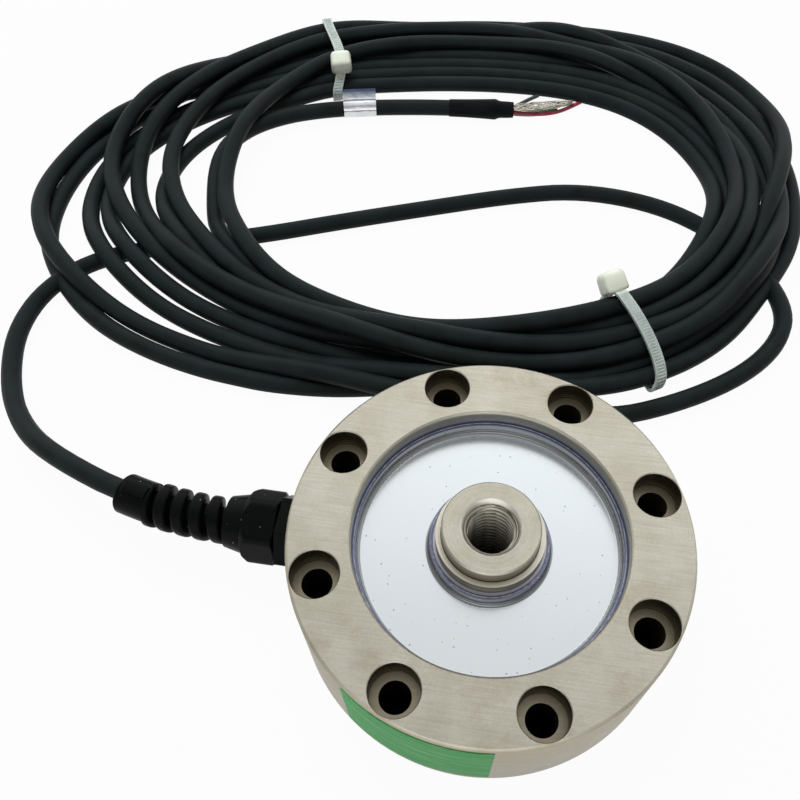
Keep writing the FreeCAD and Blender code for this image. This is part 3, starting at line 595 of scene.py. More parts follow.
def relief_radius(s, t):
    """Nut: a hexagon with soft corners, 8 / (sum of cos^24)^(1/24), cut by a cone at each end. Shoulder: a cone.
    Spiral: rib height x (1 - u^4)^(1/4), where u is the distance from the rib's middle and climbs with s and t.
    Tail: a cylinder with a rounded end and a raised key on top."""
    s, t = s[:, None], t[None]
    flats = np.radians(30 + 60 * np.arange(6))[:, None, None]
    facets = np.maximum(np.cos(t + droop + nut_turn - flats), 0) ** nut_corners
    nut = nut_radius / facets.sum(axis=0) ** (1 / nut_corners)
    nut = np.minimum(nut, np.minimum(cone_radius - cone_slope * (s - cone_start), back_radius + back_slope * s))
    shoulder = shoulder_radius - shoulder_slope * (s - nut_length)
    flex = s - nut_length - shoulder_length
    climb = spiral_turns * flex / spiral_length - t / (2 * math.pi) + spiral_phase
    u = (climb % 1.0 - 0.5) / rib_half_width
    rib = rib_foot + rib_height * np.maximum(1 - u**4, 0) ** 0.25
    on_key = soft_step(key_half_width - np.abs((t - key_bearing) * tail_radius), -0.2, 0.2)
    key = key_height * on_key * soft_step(flex_length - flex, 1.6, 2.2)
    tail = tail_radius - tail_drop * soft_step(flex, flex_length - tail_rounding, flex_length) ** 2 + key
    in_tail = soft_step(flex, spiral_length - 0.1, spiral_length + 0.1)
    flexible = np.maximum(rib * (1 - in_tail), tail * in_tail)
    past_nut, past_shoulder = soft_step(s, nut_length - 0.1, nut_length + 0.1), soft_step(flex, -0.1, 0.1)
    return (nut * (1 - past_nut) + shoulder * past_nut) * (1 - past_shoulder) + flexible * past_shoulder


# %% The moulding
nut_bore, tail_bore, bore_depth = 6.0, 2.95, 1.0
s = np.concatenate([np.arange(0, straight_length, 0.2), straight_length + np.linspace(0, flex_length, 230)])
t = full_turn(108)
inner = np.ones((1, len(t)))
radius = np.concatenate([nut_bore * inner, relief_radius(s, t), tail_bore * inner, tail_bore * inner])
place, across, down = relief_axis(np.concatenate([[0], s, [s[-1], s[-1] - bore_depth]]))
relief_grid = rings(place, across, down, radius)
relief_piece = grid_piece("strain_relief", [relief_grid], ["gland_cap"], sharp=50.0)

# %% [markdown]
# ## Thread and welds
# The hub's bore is tapped for a stud. A thread is one ridge that climbs by its pitch in each turn, so its
# radius is a function of height less the share of the turn. The mouth's cone cuts the first ridges off.
# The covers are welded in along their edges, which leaves a narrow rippled bead at each.

# %% The thread in the hub
thread_pitch, root_radius, crest_radius, steps_per_pitch = 1.75, 5.985, 5.12, 12
mouth_height, mouth_slope, thread_foot, thread_top = 32.2, 0.75, 1.2, 32.1
crest_half, flank, shell = 0.09, 0.3, 0.01  # the first two are shares of the pitch
turn = full_turn(120)
height = np.arange(thread_foot, thread_top, thread_pitch / steps_per_pitch)
phase = (height[:, None] / thread_pitch - turn[None] / (2 * math.pi)) % 1.0
tooth = np.clip((np.abs(phase - 0.5) - crest_half) / flank, 0, 1)
radius = root_radius + (crest_radius - root_radius) * (1 - tooth)
cone = root_radius - mouth_slope * (mouth_height - height)[:, None]
radius = np.minimum(np.maximum(radius, cone), root_radius)
radius = np.concatenate([radius, np.full((2, len(turn)), root_radius + shell), radius[:1]])
height = np.concatenate([height, [height[-1], height[0], height[0]]])
level = np.broadcast_to(height[:, None], radius.shape)
thread_grid = np.stack([radius * np.cos(turn), radius * np.sin(turn), level], -1)
thread = grid_piece("hub_thread", [thread_grid], sharp=25.0)


# %% Weld beads
bead_half_width, bead_half_height, bead_swell, spot_length = 0.16, 0.1, 0.06, 0.8


def weld_bead(radius, level, up):
    """A ring of oval section; the section swells and shrinks in small scallops, one for each melted spot."""
    t = np.linspace(0, 2 * math.pi, 601)
    s = full_turn(12)
    spot = 1 + bead_swell * np.abs(np.sin(t * round(radius / spot_length) / 2))
    across = radius + bead_half_width * np.cos(s)[None] * spot[:, None]
    lift = level + up * bead_half_height * np.sin(s)[None] * spot[:, None]
    grid = np.stack([across * np.cos(t)[:, None], across * np.sin(t)[:, None], lift], -1)
    grid[-1] = grid[0]
    return grid


bead_radii, bead_levels = (31.08, 13.42), ((25.84, 1), (2.56, -1))
bead_grids = [weld_bead(radius, level, up) for level, up in bead_levels for radius in bead_radii]
beads = grid_piece("weld_beads", bead_grids, sharp=60.0)

# %% [markdown]
# ## Finishes
# A finish is a small network of nodes. One function adds a node, sets its values and links it. Colours are
# written as they look on a screen and turned to the linear values that the shader needs. All patterns read
# Object coordinates in millimetres, so the scale of a pattern is one over its size in millimetres.


# %% Colour, node and material helpers
def colour(code):
    """sRGB hex to linear: c / 12.92 below 0.04045, else ((c + 0.055) / 1.055) to the power 2.4."""
    c = np.array([int(code[k:k + 2], 16) for k in (1, 3, 5)]) / 255
    return (*np.where(c <= 0.04045, c / 12.92, ((c + 0.055) / 1.055) ** 2.4), 1.0)


def node(tree, kind, inputs=None, stops=None, **settings):
    """Adds a node, or takes one that is there: settings are its properties, inputs its sockets' values or feeds,
    stops the places and colours of a ramp."""
    made = tree.nodes.new("ShaderNode" + kind) if isinstance(kind, str) else kind
    for key, value in settings.items():
        setattr(made, key, value)
    for key, value in (inputs or {}).items():
        if isinstance(value, bpy.types.Node):
            value = value.outputs[0]
        if isinstance(value, bpy.types.NodeSocket):
            tree.links.new(value, made.inputs[key])
        else:
            made.inputs[key].default_value = value
    for k, (position, code) in enumerate(stops or []):
        ramp = made.color_ramp.elements
        stop = ramp[k] if k < len(ramp) else ramp.new(position)
        stop.position, stop.color = position, colour(code)
    return made


def new_finish(name):
    """A material with its tree, its shader and the Object coordinates in millimetres."""
    material = bpy.data.materials.new(name)
    material.use_nodes = True
    tree = material.node_tree
    metres = node(tree, "TexCoord").outputs["Object"]
    place = node(tree, "VectorMath", {0: metres, "Scale": 1 / mm}, operation="SCALE")
    return material, tree, tree.nodes["Principled BSDF"], place


def give(material, *pieces):
    """Puts the material on pieces, which are objects or names of CAD nodes."""
    for piece in pieces:
        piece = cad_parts[piece] if isinstance(piece, str) else piece
        piece.data.materials.clear()
        piece.data.materials.append(material)
    print(material.name, "on", len(pieces), "pieces")


print("a screen's middle grey is", np.round(colour("#808080")[0], 3), "in linear light")

# %% [markdown]
# A mask is a number between 0 and 1 that says where a colour lies. The same three questions come back in many
# finishes: is this point between two sizes, how far is it from one size, and is it on a scattered spot.


# %% Masks: zones, gaps and spots
def zone(tree, value, start, full, limits=(), most=1.0):
    """Climbs from 0 where the value is at start to the most where it is at full, and is 0 outside the limits. Each
    limit is a value, LESS_THAN or GREATER_THAN, and a number."""
    mask = node(tree, "MapRange", {"Value": value, "From Min": start, "From Max": full, "To Max": most})
    for limited, side, number in limits:
        inside = node(tree, "Math", {0: limited, 1: number}, operation=side)
        mask = node(tree, "Math", {0: mask, 1: inside}, operation="MULTIPLY")
    return mask


def gap(tree, value, middle):
    """How far a value is from a middle, |value - middle|."""
    offset = node(tree, "Math", {0: value, 1: middle}, operation="SUBTRACT")
    return node(tree, "Math", {0: offset}, operation="ABSOLUTE")


def spots(tree, place, scale, rarity, size, **settings):
    """Round spots, one about the centre of each cell of a Voronoi pattern. Its radius grows with the cell's random
    number from 0 at the rarity to the size at 1, where the size is a share of a cell."""
    cells = node(tree, "TexVoronoi", {"Vector": place, "Scale": scale}, **settings)
    chance = node(tree, "SeparateColor", {0: cells.outputs["Color"]})
    reach = node(tree, "MapRange", {"Value": chance, "From Min": rarity, "To Max": size})
    return node(tree, "Math", {0: cells.outputs["Distance"], 1: reach}, operation="LESS_THAN")


# %% [markdown]
# ### Satin nickel plate on machined steel
# The body was turned from a steel blank, ground flat on top and nickel-plated. Nickel is a warm grey metal. The
# plate is satin, so it blurs what it reflects, and fine grinding lines run across the top. Inside the head
# bores the plate is thin and brown, with rings from the cutter, and is painted darker as shade; the drilled holes
# are painted almost black as shade. Beside the welds the heat left a bluish band. All of it is told apart by
# radius and height alone, so each place is a mask, and the colours are laid over each other in turn.

# %% The body's sizes, in millimetres
body_radius, ring_top, boss_top, weld_height = 46.0, 30.0, 33.4, 25.8
bolt_circle_radius, head_bore_radius, bolt_hole_radius, seat_height = 40.0, 5.5, 3.5, 24.0
recess_radius, hub_radius, boss_radius, bore_radius = 31.5, 13.0, 11.2, 6.0
pan_middle, mouth_middle = 20.0, 6.5
bolt_sector = 2 * math.pi / 8
print("bolt holes every", round(math.degrees(bolt_sector)), "degrees")

# %% Where on the body: radius, height and distance from the nearest bolt hole
nickel, tree, shader, place = new_finish("satin_nickel_plate")
x, y, z = node(tree, "SeparateXYZ", {0: place}).outputs
plan = node(tree, "VectorMath", {0: place, 1: (1, 1, 0)}, operation="MULTIPLY")
radius = node(tree, "VectorMath", {0: plan}, operation="LENGTH").outputs["Value"]
bearing = node(tree, "Math", {0: y, 1: x}, operation="ARCTAN2")
sector = node(tree, "Math", {0: bearing, 1: bolt_sector, 2: 0.0}, operation="WRAP")
swing = node(tree, "Math", {0: sector, 1: bolt_sector / 2}, operation="SUBTRACT")
cosine, sine = (node(tree, "Math", {0: swing}, operation=name) for name in ("COSINE", "SINE"))
forward = node(tree, "Math", {0: cosine, 1: radius, 2: -bolt_circle_radius}, operation="MULTIPLY_ADD")
sideways = node(tree, "Math", {0: sine, 1: radius}, operation="MULTIPLY")
hole_offset = node(tree, "CombineXYZ", {0: forward, 1: sideways})
from_hole = node(tree, "VectorMath", {0: hole_offset}, operation="LENGTH").outputs["Value"]
print("nodes that find the place:", len(tree.nodes))

# %% Plate: warm grey, cloudy, with a few stains and specks, and browner on the turned side
clouds = node(tree, "TexNoise", {"Vector": place, "Scale": 0.09, "Detail": 5.0, "Roughness": 0.6})
plate = node(tree, "ValToRGB", {0: clouds}, stops=[(0.3, "#b7b2a1"), (0.52, "#c5c1b2"), (0.75, "#cfccc0")])
mottle = node(tree, "TexNoise", {"Vector": place, "Scale": 1.6, "Detail": 3.0})
mottled = node(tree, "ValToRGB", {0: mottle}, stops=[(0.35, "#a39c89"), (0.65, "#d6d3c8")])
stains = node(tree, "TexNoise", {"Vector": place, "Scale": 0.055, "Detail": 8.0, "Roughness": 0.68})
stained = zone(tree, stains, 0.56, 0.72, most=0.55)
speck = node(tree, "Math", {0: spots(tree, place, 0.5, rarity=0.6, size=0.09), 1: 0.5}, operation="MULTIPLY")
on_side = zone(tree, radius, body_radius - 0.4, body_radius - 0.05, most=0.8)
up_side = node(tree, "MapRange", {"Value": z, "From Max": ring_top})
side_tone = node(tree, "ValToRGB", {0: up_side}, stops=[(0.0, "#81765f"), (0.6, "#968b71"), (1.0, "#a2987f")])
for mask, coat in ((0.12, mottled), (stained, colour("#9c9179")), (speck, colour("#8b836f")), (on_side, side_tone)):
    plate = node(tree, "Mix", {"Factor": mask, "A": plate, "B": coat}, data_type="RGBA").outputs["Result"]
print("plate nodes:", len(tree.nodes))

# %% Bores: brown thin plate with cutter rings, painted darker as shade; drilled holes painted nearly black as shade
ring_spacing, band_spacing = 0.9, 0.314  # a wave texture of scale 1 has its bands pi / 10 apart
cutter_rings = node(tree, "TexWave", {"Vector": place, "Scale": band_spacing / ring_spacing, "Distortion": 1.2,
                                      "Detail": 2.0}, bands_direction="Z")
bore_rings_and_painted_shade = node(tree, "ValToRGB", {0: cutter_rings}, stops=[(0.2, "#474133"), (0.8, "#8a8270")])
on_seat = zone(tree, from_hole, head_bore_radius - 0.15, head_bore_radius - 0.3)
bore_and_seat_painted_shade = node(tree, "Mix", {"Factor": on_seat, "A": bore_rings_and_painted_shade, "B": colour("#948c7a")}, data_type="RGBA")
in_bore = zone(tree, from_hole, head_bore_radius + 0.12, head_bore_radius + 0.03,
               [(z, "GREATER_THAN", seat_height - 0.2)])
hole_painted_shade = zone(tree, from_hole, bolt_hole_radius + 0.16, bolt_hole_radius + 0.06,
               [(z, "LESS_THAN", seat_height - 0.05)])
print("cutter rings", ring_spacing, "mm apart")

# %% Heat tint on the recess wall and on the hub, by height above the weld
above_weld = node(tree, "MapRange", {"Value": z, "From Min": weld_height, "From Max": weld_height + 4.0})
wall_tint = node(tree, "ValToRGB", {0: above_weld}, stops=[
    (0.0, "#757a92"), (0.08, "#b0b4be"), (0.2, "#a8a9ac"), (0.5, "#9b9b98"), (0.95, "#a19e95")])
hub_tint = node(tree, "ValToRGB", {0: above_weld}, stops=[
    (0.0, "#bcbdc6"), (0.06, "#b0b0b6"), (0.2, "#9d998d"), (0.6, "#8f8977"), (0.86, "#7f7968"), (0.92, "#ded9cb")])
on_wall = zone(tree, radius, recess_radius + 0.25, recess_radius + 0.1, [(radius, "GREATER_THAN", pan_middle)])
on_hub = zone(tree, radius, hub_radius + 0.3, hub_radius + 0.1, [(radius, "GREATER_THAN", boss_radius + 0.15)])
print("heat tint from", weld_height, "mm up")

# %% The boss's turned side is painted dark as shade in the corner at its foot, and the bore's mouth is painted near white as a highlight
up_boss = node(tree, "MapRange", {"Value": z, "From Min": boss_top - 4.0, "From Max": boss_top})
boss_side_painted_shade = node(tree, "ValToRGB", {0: up_boss}, stops=[
    (0.0, "#3b372e"), (0.12, "#6f6858"), (0.5, "#9a9280"), (0.9, "#b5ae9d")])
on_boss = zone(tree, gap(tree, radius, boss_radius), 0.16, 0.12, [(z, "LESS_THAN", boss_top - 0.1)])
mouth_painted_highlight = zone(tree, gap(tree, radius, mouth_middle), 0.44, 0.36, [(z, "GREATER_THAN", mouth_height - 0.2)])
print("boss from", round(boss_top - 4.0, 1), "to", boss_top, "mm")

# %% The tapped bore: little light gets down it, so it is painted darker with depth, and its grooves are painted dark as shade
lit_height, dark_height, crest_end, groove_start = 31.5, 6.0, 5.35, 5.8
bore_depth_painted_shade = zone(tree, z, lit_height, dark_height, [(radius, "LESS_THAN", bore_radius + 0.1)], most=0.92)
groove_painted_shade = zone(tree, radius, crest_end, groove_start,
                 [(radius, "LESS_THAN", bore_radius + 0.05), (z, "LESS_THAN", lit_height + 0.1)], most=0.85)
print("the bore darkens over", lit_height - dark_height, "mm")

# %% Grinding lines: 0.4 mm apart, which is coarser than real ones so that they show; round on the hub
normal = node(tree, "SeparateXYZ", {0: node(tree, "NewGeometry").outputs["Normal"]}).outputs
facing_up = node(tree, "Math", {0: normal[2]}, operation="ABSOLUTE")
line_stretch = node(tree, "CombineXYZ", {0: 0.03, 1: facing_up, 2: 1.0})
straight = node(tree, "VectorMath", {0: place, 1: line_stretch}, operation="MULTIPLY")
slow_bearing = node(tree, "Math", {0: bearing, 1: 0.3}, operation="MULTIPLY")
round_lines = node(tree, "CombineXYZ", {0: slow_bearing, 1: radius, 2: z})
turned = node(tree, "Math", {0: radius, 1: hub_radius + 0.5}, operation="LESS_THAN")
line_place = node(tree, "Mix", {"Factor": turned, 4: straight, 5: round_lines}, data_type="VECTOR").outputs[1]
lines = node(tree, "TexNoise", {"Vector": line_place, "Scale": 2.5, "Detail": 3.0, "Roughness": 0.65})
scored = zone(tree, lines, 0.4, 0.7, most=0.2)
print("nodes up to the grinding lines:", len(tree.nodes))

# %% Lay the colours over each other
body_colour = plate
for mask, coat in ((in_bore, bore_and_seat_painted_shade.outputs["Result"]), (hole_painted_shade, colour("#14110d")), (on_wall, wall_tint),
                   (on_hub, hub_tint), (on_boss, boss_side_painted_shade), (mouth_painted_highlight, colour("#ece8df")),
                   (bore_depth_painted_shade, colour("#2b261d")), (groove_painted_shade, colour("#1b1812")), (scored, colour("#8d8573"))):
    body_colour = node(tree, "Mix", {"Factor": mask, "A": body_colour, "B": coat}, data_type="RGBA").outputs["Result"]
dull = node(tree, "MapRange", {"Value": lines, "From Min": 0.3, "From Max": 0.7, "To Min": 0.34, "To Max": 0.48})
relief = node(tree, "Bump", {"Height": lines, "Strength": 0.45, "Distance": 0.04 * mm})
# Where the holes and the bore are painted as shade, the metal is also made less metallic, so that it does not mirror
# the bright bench there.
shaded = node(tree, "Math", {0: hole_painted_shade, 1: bore_depth_painted_shade}, operation="MAXIMUM")
metallic_lower_in_painted_shade = node(tree, "MapRange", {"Value": shaded, "To Min": 1.0, "To Max": 0.5})
node(tree, shader, {"Base Color": body_colour, "Metallic": metallic_lower_in_painted_shade, "Roughness": dull, "Normal": relief})
give(nickel, "sensor_body", thread)

# %% Broken edges: a machinist takes the sharpness off every edge, and the thin rounding catches the light
edge_width, edge_angle, corner_gap = 0.2 * mm, math.radians(35.0), 0.002 * mm
for name in ("sensor_body", "gland_body"):
    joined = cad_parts[name].modifiers.new("joined corners", "WELD")
    joined.merge_threshold = corner_gap
    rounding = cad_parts[name].modifiers.new("broken edges", "BEVEL")
    rounding.width, rounding.segments = edge_width, 2
    rounding.limit_method, rounding.angle_limit = "ANGLE", edge_angle
    rounding.harden_normals = True
    print(name, "has its edges rounded by", round(edge_width / mm, 2), "mm")

# %% [markdown]
# ### Pressed stainless covers
# The covers are rolled stainless sheet, bright and slightly satin, so they look almost white under a bright
# ceiling. Their floor carries a few grains of dust. At the welded edge of a collar the heat left a narrow bluish
# band, and the bend at its foot is painted darker than the floor as shade. The distance from the weld tells
# these apart.

# %% Stainless sheet
upper_weld, lower_weld, upper_collar, lower_collar = 25.8, 2.6, 3.5, 2.9
stainless, tree, shader, place = new_finish("bright_stainless_sheet")
z = node(tree, "SeparateXYZ", {0: place}).outputs[2]
lower = node(tree, "Math", {0: gap(tree, z, lower_weld), 1: upper_collar / lower_collar}, operation="MULTIPLY")
nearest = node(tree, "Math", {0: gap(tree, z, upper_weld), 1: lower}, operation="MINIMUM")
from_weld = node(tree, "MapRange", {"Value": nearest, "From Max": upper_collar})
# The ramp: bluish heat tint at the weld, then the collar, then painted shade that darkens the collar's foot and the
# bend, then the floor.
sheet = node(tree, "ValToRGB", {0: from_weld}, stops=[
    (0.0, "#757a94"), (0.08, "#9598a8"), (0.2, "#cccfd3"), (0.6, "#cbcdd0"), (0.9, "#a3a6a8"), (0.994, "#86898b"),
    (0.999, "#dde3e6")])
dust = spots(tree, place, 0.42, rarity=0.75, size=0.09, voronoi_dimensions="2D")
sheet = node(tree, "Mix", {"Factor": dust, "A": sheet, "B": colour("#a9aeb1")}, data_type="RGBA").outputs["Result"]
waves = node(tree, "TexNoise", {"Vector": place, "Scale": 0.06, "Detail": 2.0})
polish = node(tree, "TexNoise", {"Vector": place, "Scale": 0.8, "Detail": 4.0})
gloss = node(tree, "MapRange", {"Value": polish, "To Min": 0.17, "To Max": 0.25})
relief = node(tree, "Bump", {"Height": waves, "Strength": 0.12, "Distance": 0.2 * mm})
node(tree, shader, {"Base Color": sheet, "Metallic": 1.0, "Roughness": gloss, "Normal": relief})
give(stainless, "top_cover", "bottom_cover")

# %% Weld bead: bare melted steel, blue and violet in patches
bead_finish, tree, shader, place = new_finish("heat_tinted_weld")
patches = node(tree, "TexNoise", {"Vector": place, "Scale": 0.7, "Detail": 3.0})
tint = node(tree, "ValToRGB", {0: patches}, stops=[
    (0.3, "#7d8096"), (0.48, "#9598a8"), (0.6, "#b4b5ba"), (0.75, "#9694a6")])
node(tree, shader, {"Base Color": tint, "Metallic": 1.0, "Roughness": 0.4})
give(bead_finish, beads)

# %% [markdown]
# ### Plastics and rubber
# The gland is moulded nylon: black, a little glossy, with a fine skin and small pale specks that stand both for
# scuffs from handling and for painted glints. The cable's jacket is extruded PVC, which is matt and slightly
# lighter. Both are dark, so their shape shows mostly through what they reflect. The ties are undyed nylon, which
# is milky because light passes into it.

# %% Black moulded nylon
nylon, tree, shader, place = new_finish("black_moulded_nylon")
skin = node(tree, "TexNoise", {"Vector": place, "Scale": 2.2, "Detail": 4.0})
shade = node(tree, "ValToRGB", {0: skin}, stops=[(0.3, "#050706"), (0.7, "#0b0e0c")])
# Pale specks: partly scuffs, partly painted glints.
scuffs_and_painted_glints = spots(tree, place, 0.6, rarity=0.75, size=0.12)
shade = node(tree, "Mix", {"Factor": scuffs_and_painted_glints, "A": shade, "B": colour("#9aa09f")}, data_type="RGBA").outputs["Result"]
gloss = node(tree, "MapRange", {"Value": skin, "From Min": 0.3, "From Max": 0.7, "To Min": 0.27, "To Max": 0.4})
relief = node(tree, "Bump", {"Height": skin, "Strength": 0.25, "Distance": 0.05 * mm})
node(tree, shader, {"Base Color": shade, "Roughness": gloss, "IOR": 1.53, "Specular IOR Level": 0.05,
                    "Normal": relief})
give(nylon, "gland_body", relief_piece)

# %% Black PVC jacket
jacket, tree, shader, place = new_finish("black_pvc_jacket")
patchy = node(tree, "TexNoise", {"Vector": place, "Scale": 0.12, "Detail": 4.0})
fine = node(tree, "TexNoise", {"Vector": place, "Scale": 3.0, "Detail": 2.0})
shade = node(tree, "ValToRGB", {0: patchy}, stops=[(0.3, "#121817"), (0.7, "#1b2223")])
gloss = node(tree, "MapRange", {"Value": patchy, "From Min": 0.3, "From Max": 0.7, "To Min": 0.5, "To Max": 0.6})
relief = node(tree, "Bump", {"Height": fine, "Strength": 0.2, "Distance": 0.04 * mm})
node(tree, shader, {"Base Color": shade, "Roughness": gloss, "IOR": 1.53, "Specular IOR Level": 0.1, "Normal": relief})
give(jacket, cable)

# %% Heat-shrink: matt polyolefin with lengthwise creases
shrink, tree, shader, place = new_finish("black_heat_shrink")
run = node(tree, "UVMap", uv_map="run")
crease_place = node(tree, "VectorMath", {0: run, 1: (1.6, 0.15, 0.0)}, operation="MULTIPLY")
creases = node(tree, "TexNoise", {"Vector": crease_place, "Scale": 1.0, "Detail": 3.0})
shade = node(tree, "ValToRGB", {0: creases}, stops=[(0.3, "#0a0c0d"), (0.7, "#121516")])
relief = node(tree, "Bump", {"Height": creases, "Strength": 0.3, "Distance": 0.15 * mm})
node(tree, shader, {"Base Color": shade, "Roughness": 0.5, "IOR": 1.5, "Specular IOR Level": 0.06, "Normal": relief})
give(shrink, sleeve)

# %% Natural nylon: milky, and greyer on the thin strap than on the thick head
natural, tree, shader, place = new_finish("natural_nylon")
milk = node(tree, "TexNoise", {"Vector": place, "Scale": 0.25, "Detail": 3.0})
head_shade = node(tree, "ValToRGB", {0: milk}, stops=[(0.3, "#d5dccb"), (0.7, "#e7ecdd")])
strap_shade = node(tree, "ValToRGB", {0: milk}, stops=[(0.3, "#a8b4b0"), (0.7, "#bfc9c4")])
gaps = [node(tree, "VectorMath", {0: place, 1: tuple(spot)}, operation="DISTANCE").outputs["Value"]
        for spot in head_places]
off_head = zone(tree, node(tree, "Math", {0: gaps[0], 1: gaps[1]}, operation="MINIMUM"), 4.5, 6.0)
shade = node(tree, "Mix", {"Factor": off_head, "A": head_shade, "B": strap_shade}, data_type="RGBA").outputs["Result"]
dimples = node(tree, "TexNoise", {"Vector": place, "Scale": 1.5, "Detail": 2.0})
relief = node(tree, "Bump", {"Height": dimples, "Strength": 0.15, "Distance": 0.06 * mm})
node(tree, shader, {"Base Color": shade, "Roughness": 0.36, "IOR": 1.53, "Subsurface Weight": 0.3,
                    "Subsurface Radius": (1.0, 1.0, 0.8), "Subsurface Scale": 1.2 * mm, "Normal": relief})
give(natural, *ties)


# %% Finishes that only wander between two shades: moulded rubber and the cores' insulation
def two_shades(name, dark, light, scale, detail, roughness, ior, relief=0.0):
    """A noise pattern picks a shade between dark and light; where relief is above 0 it also lifts the surface."""
    material, tree, shader, place = new_finish(name)
    wander = node(tree, "TexNoise", {"Vector": place, "Scale": scale, "Detail": detail})
    shade = node(tree, "ValToRGB", {0: wander}, stops=[(0.3, dark), (0.7, light)])
    node(tree, shader, {"Base Color": shade, "Roughness": roughness, "IOR": ior})
    if relief > 0:
        bump = node(tree, "Bump", {"Height": wander, "Strength": relief, "Distance": 0.05 * mm})
        node(tree, shader, {"Normal": bump})
    return material


rubber = two_shades("black_moulded_rubber", "#101011", "#1d1d1e", scale=0.9, detail=4.0, roughness=0.65, ior=1.52,
                    relief=0.2)
give(rubber, "gland_gasket", "gland_seal")
core_shades = {"red": ("#861a2d", "#a82a40"), "black": ("#121314", "#222426"),
               "green": ("#1b5a31", "#2f7d49"), "white": ("#cfcfca", "#e6e6e1")}
for name, (dark, light) in core_shades.items():
    insulation = two_shades(name + "_core_pvc", dark, light, scale=0.6, detail=3.0, roughness=0.38, ior=1.53,
                            relief=0.2)
    give(insulation, cores[name], "inner_core_" + name)

# %% [markdown]
# ### The small things
# The screen is tinned copper, which is a dull silver with yellower worn places. The marker is a bright foil
# laminate that creases as it is folded, and its flag is bluer than the part round the cable. The label on the
# ring is a plain green film with rubbed streaks.

# %% Tinned copper wires
tinned, tree, shader, place = new_finish("tinned_copper")
wires = node(tree, "TexNoise", {"Vector": place, "Scale": 1.4, "Detail": 3.0})
shade = node(tree, "ValToRGB", {0: wires}, stops=[(0.3, "#8f8c80"), (0.55, "#c3c0b4"), (0.75, "#a99f88")])
node(tree, shader, {"Base Color": shade, "Metallic": 1.0, "Roughness": 0.3})
give(tinned, braid)

# %% Foil marker
foil_finish, tree, shader, place = new_finish("silver_foil_laminate")
crinkle = node(tree, "TexNoise", {"Vector": place, "Scale": 0.35, "Detail": 4.0})
silver = node(tree, "ValToRGB", {0: crinkle}, stops=[(0.3, "#cbced4"), (0.7, "#e4e5e7")])
strip_run = node(tree, "SeparateXYZ", {0: node(tree, "UVMap", uv_map="run")}).outputs[0]
on_flag = zone(tree, strip_run, 3.9, 0.6)
shade = node(tree, "Mix", {"Factor": on_flag, "A": silver, "B": colour("#4f5a74")}, data_type="RGBA").outputs["Result"]
gloss = node(tree, "MapRange", {"Value": crinkle, "To Min": 0.14, "To Max": 0.3})
relief = node(tree, "Bump", {"Height": crinkle, "Strength": 0.5, "Distance": 0.4 * mm})
node(tree, shader, {"Base Color": shade, "Metallic": 1.0, "Roughness": gloss, "Normal": relief})
give(foil_finish, marker)

# %% Green label film
film, tree, shader, place = new_finish("green_label_film")
streak_place = node(tree, "VectorMath", {0: place, 1: (0.08, 0.08, 2.0)}, operation="MULTIPLY")
streaks = node(tree, "TexNoise", {"Vector": streak_place, "Scale": 1.0, "Detail": 5.0, "Roughness": 0.7})
shade = node(tree, "ValToRGB", {0: streaks}, stops=[(0.38, "#43b95a"), (0.55, "#62cd76"), (0.7, "#d0f0d0")])
gloss = node(tree, "MapRange", {"Value": streaks, "To Min": 0.4, "To Max": 0.6})
relief = node(tree, "Bump", {"Height": streaks, "Strength": 0.2, "Distance": 0.05 * mm})
node(tree, shader, {"Base Color": shade, "Roughness": gloss, "IOR": 1.55, "Specular IOR Level": 0.06,
                    "Normal": relief})
give(film, "side_label")

# %% [markdown]
# ### Inside the sealed cavity
# The gauges are amber film with a metal grid, joined by enamelled wire to a small glass-epoxy board with four
# trimming chips. The covers hide them, but they have their own finishes so that a cut-away view works too.

# %% Gauges, bridge wire, board and chips
gauge, tree, shader, place = new_finish("polyimide_gauge_film")
grid_spacing = 0.35
grid_lines = node(tree, "TexWave", {"Vector": place, "Scale": band_spacing / grid_spacing}, bands_direction="Z")
shade = node(tree, "ValToRGB", {0: grid_lines}, stops=[(0.45, "#b0742a"), (0.55, "#8f8a86")])
node(tree, shader, {"Base Color": shade, "Roughness": 0.35, "IOR": 1.7})
give(gauge, *["strain_gauge_%d" % k for k in range(1, 9)])
board, tree, shader, place = new_finish("glass_epoxy_board")
weave = node(tree, "TexChecker", {"Vector": place, "Color1": colour("#2a6b42"), "Color2": colour("#245f3a"),
                                  "Scale": 2.0})
node(tree, shader, {"Base Color": weave, "Roughness": 0.4, "IOR": 1.55})
give(board, "terminal_board")
enamel = two_shades("enamelled_wire", "#6b3417", "#8d4a20", scale=0.8, detail=3.0, roughness=0.3, ior=1.6)
give(enamel, "gauge_harness")
chip = two_shades("dark_ceramic_chip", "#121215", "#24242a", scale=2.0, detail=3.0, roughness=0.25, ior=1.76)
give(chip, "trim_resistors")

# %% [markdown]
# ## Stage and light
# The object stands on a plain pale bench, with one soft lamp behind it on the left. The bench and the room look
# white to the camera, and the room lights the object at a plain level. Metal shows its surroundings, so what it
# mirrors of the room is graded: bright behind, dimmer above and in front, and bright again low in front, where a
# window would be. Part of the bench's own shading stays, so that the object's shadow stays too.

# %% Bench
bench_half, bench_drop, bench_glow = 3.0, 0.05 * mm, 0.96
bench_mesh = bpy.data.meshes.new("bench")
bench_corners = [(x * bench_half, y * bench_half, -bench_drop) for x, y in ((-1, -1), (1, -1), (1, 1), (-1, 1))]
bench_mesh.from_pydata(bench_corners, [], [(0, 1, 2, 3)])
bench = bpy.data.objects.new("bench", bench_mesh)
scene.collection.objects.link(bench)
print("bench", 2 * bench_half, "m wide")
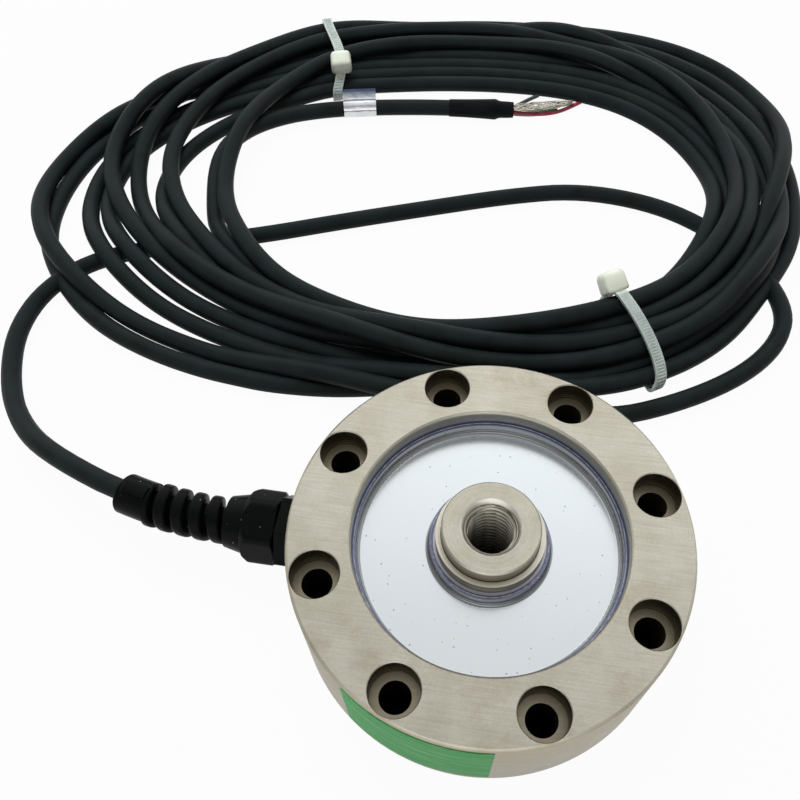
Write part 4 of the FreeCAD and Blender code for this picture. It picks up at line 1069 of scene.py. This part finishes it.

# %% Bench finish: pale, and painted near black as shade only where the body covers it
bench_finish, tree, shader, place = new_finish("pale_bench")
path = node(tree, "LightPath").outputs
seen = node(tree, "Math", {0: path["Is Camera Ray"], 1: path["Is Glossy Ray"]}, operation="MAXIMUM")
seen = node(tree, "Math", {0: seen, 1: path["Is Transmission Ray"]}, operation="MAXIMUM")
from_axis = node(tree, "VectorMath", {0: place}, operation="LENGTH").outputs["Value"]
from_below = node(tree, "NewGeometry").outputs["Backfacing"]
from_axis = node(tree, "Math", {0: from_below, 1: 100.0, 2: from_axis}, operation="MULTIPLY_ADD")
open_bench = node(tree, "Math", {0: from_axis, 1: body_radius - 0.5}, operation="GREATER_THAN")
seen_open = node(tree, "Math", {0: seen, 1: open_bench}, operation="MULTIPLY")
share = node(tree, "Math", {0: seen_open, 1: bench_glow}, operation="MULTIPLY")
bench_shade = node(tree, "MapRange", {"Value": from_axis, "From Min": body_radius - 0.7, "From Max": body_radius - 0.3,
                                      "To Min": 0.01, "To Max": 0.5})
node(tree, shader, {"Base Color": bench_shade, "Roughness": 0.8})
glow = node(tree, "Emission", {"Color": (1, 1, 1, 1), "Strength": 1.0})
surface = node(tree, "MixShader", {0: share, 1: shader, 2: glow})
node(tree, tree.nodes["Material Output"], {"Surface": surface})
bench.data.materials.append(bench_finish)
print("bench finish of", len(tree.nodes), "nodes")

# %% Room
room = bpy.data.worlds.new("room")
scene.world = room
room.use_nodes = True
tree = room.node_tree
path = node(tree, "LightPath").outputs
_, forward, upward = node(tree, "SeparateXYZ", {0: node(tree, "TexCoord").outputs["Generated"]}).outputs
mirrored = node(tree, "MapRange", {"Value": forward, "From Min": 0.1, "From Max": 0.6, "To Min": 0.56, "To Max": 1.4})
front_shade = zone(tree, forward, -0.12, -0.4, most=0.1)
overhead = zone(tree, upward, 0.965, 0.99, most=0.35)
low_front = zone(tree, forward, -0.62, -0.88, most=1.0)
for part, sign in ((front_shade, "SUBTRACT"), (overhead, "ADD"), (low_front, "ADD")):
    mirrored = node(tree, "Math", {0: mirrored, 1: part}, operation=sign)
plain_level, white = 0.3, 1.0
seen = node(tree, "Math", {0: path["Is Camera Ray"], 1: path["Is Transmission Ray"]}, operation="MAXIMUM")
strength = node(tree, "Mix", {0: path["Is Glossy Ray"], 2: plain_level, 3: mirrored}).outputs[0]
strength = node(tree, "Mix", {0: seen, 2: strength, 3: white}).outputs[0]
node(tree, tree.nodes["Background"], {"Color": (1, 1, 1, 1), "Strength": strength})
scene.view_settings.view_transform = "Standard"
print("room of", len(tree.nodes), "nodes")

# %% Lamp: soft, behind the object on the left; mirrors don't show it
lamp = bpy.data.objects.new("lamp", bpy.data.lights.new("lamp", "AREA"))
scene.collection.objects.link(lamp)
lamp.data.size = 0.5
lamp.data.energy = 6.4
lamp.visible_glossy = False
lamp.location = (-0.22, 0.3, 0.75)
lit_place = np.array([0.0, 0.08, 0.0])
aim = lit_place - np.array(lamp.location)
lamp.rotation_euler = (math.atan2(math.hypot(aim[0], aim[1]), -aim[2]), 0.0, math.atan2(aim[0], -aim[1]) + math.pi)
print("lamp", round(float(np.linalg.norm(aim)), 2), "m away")
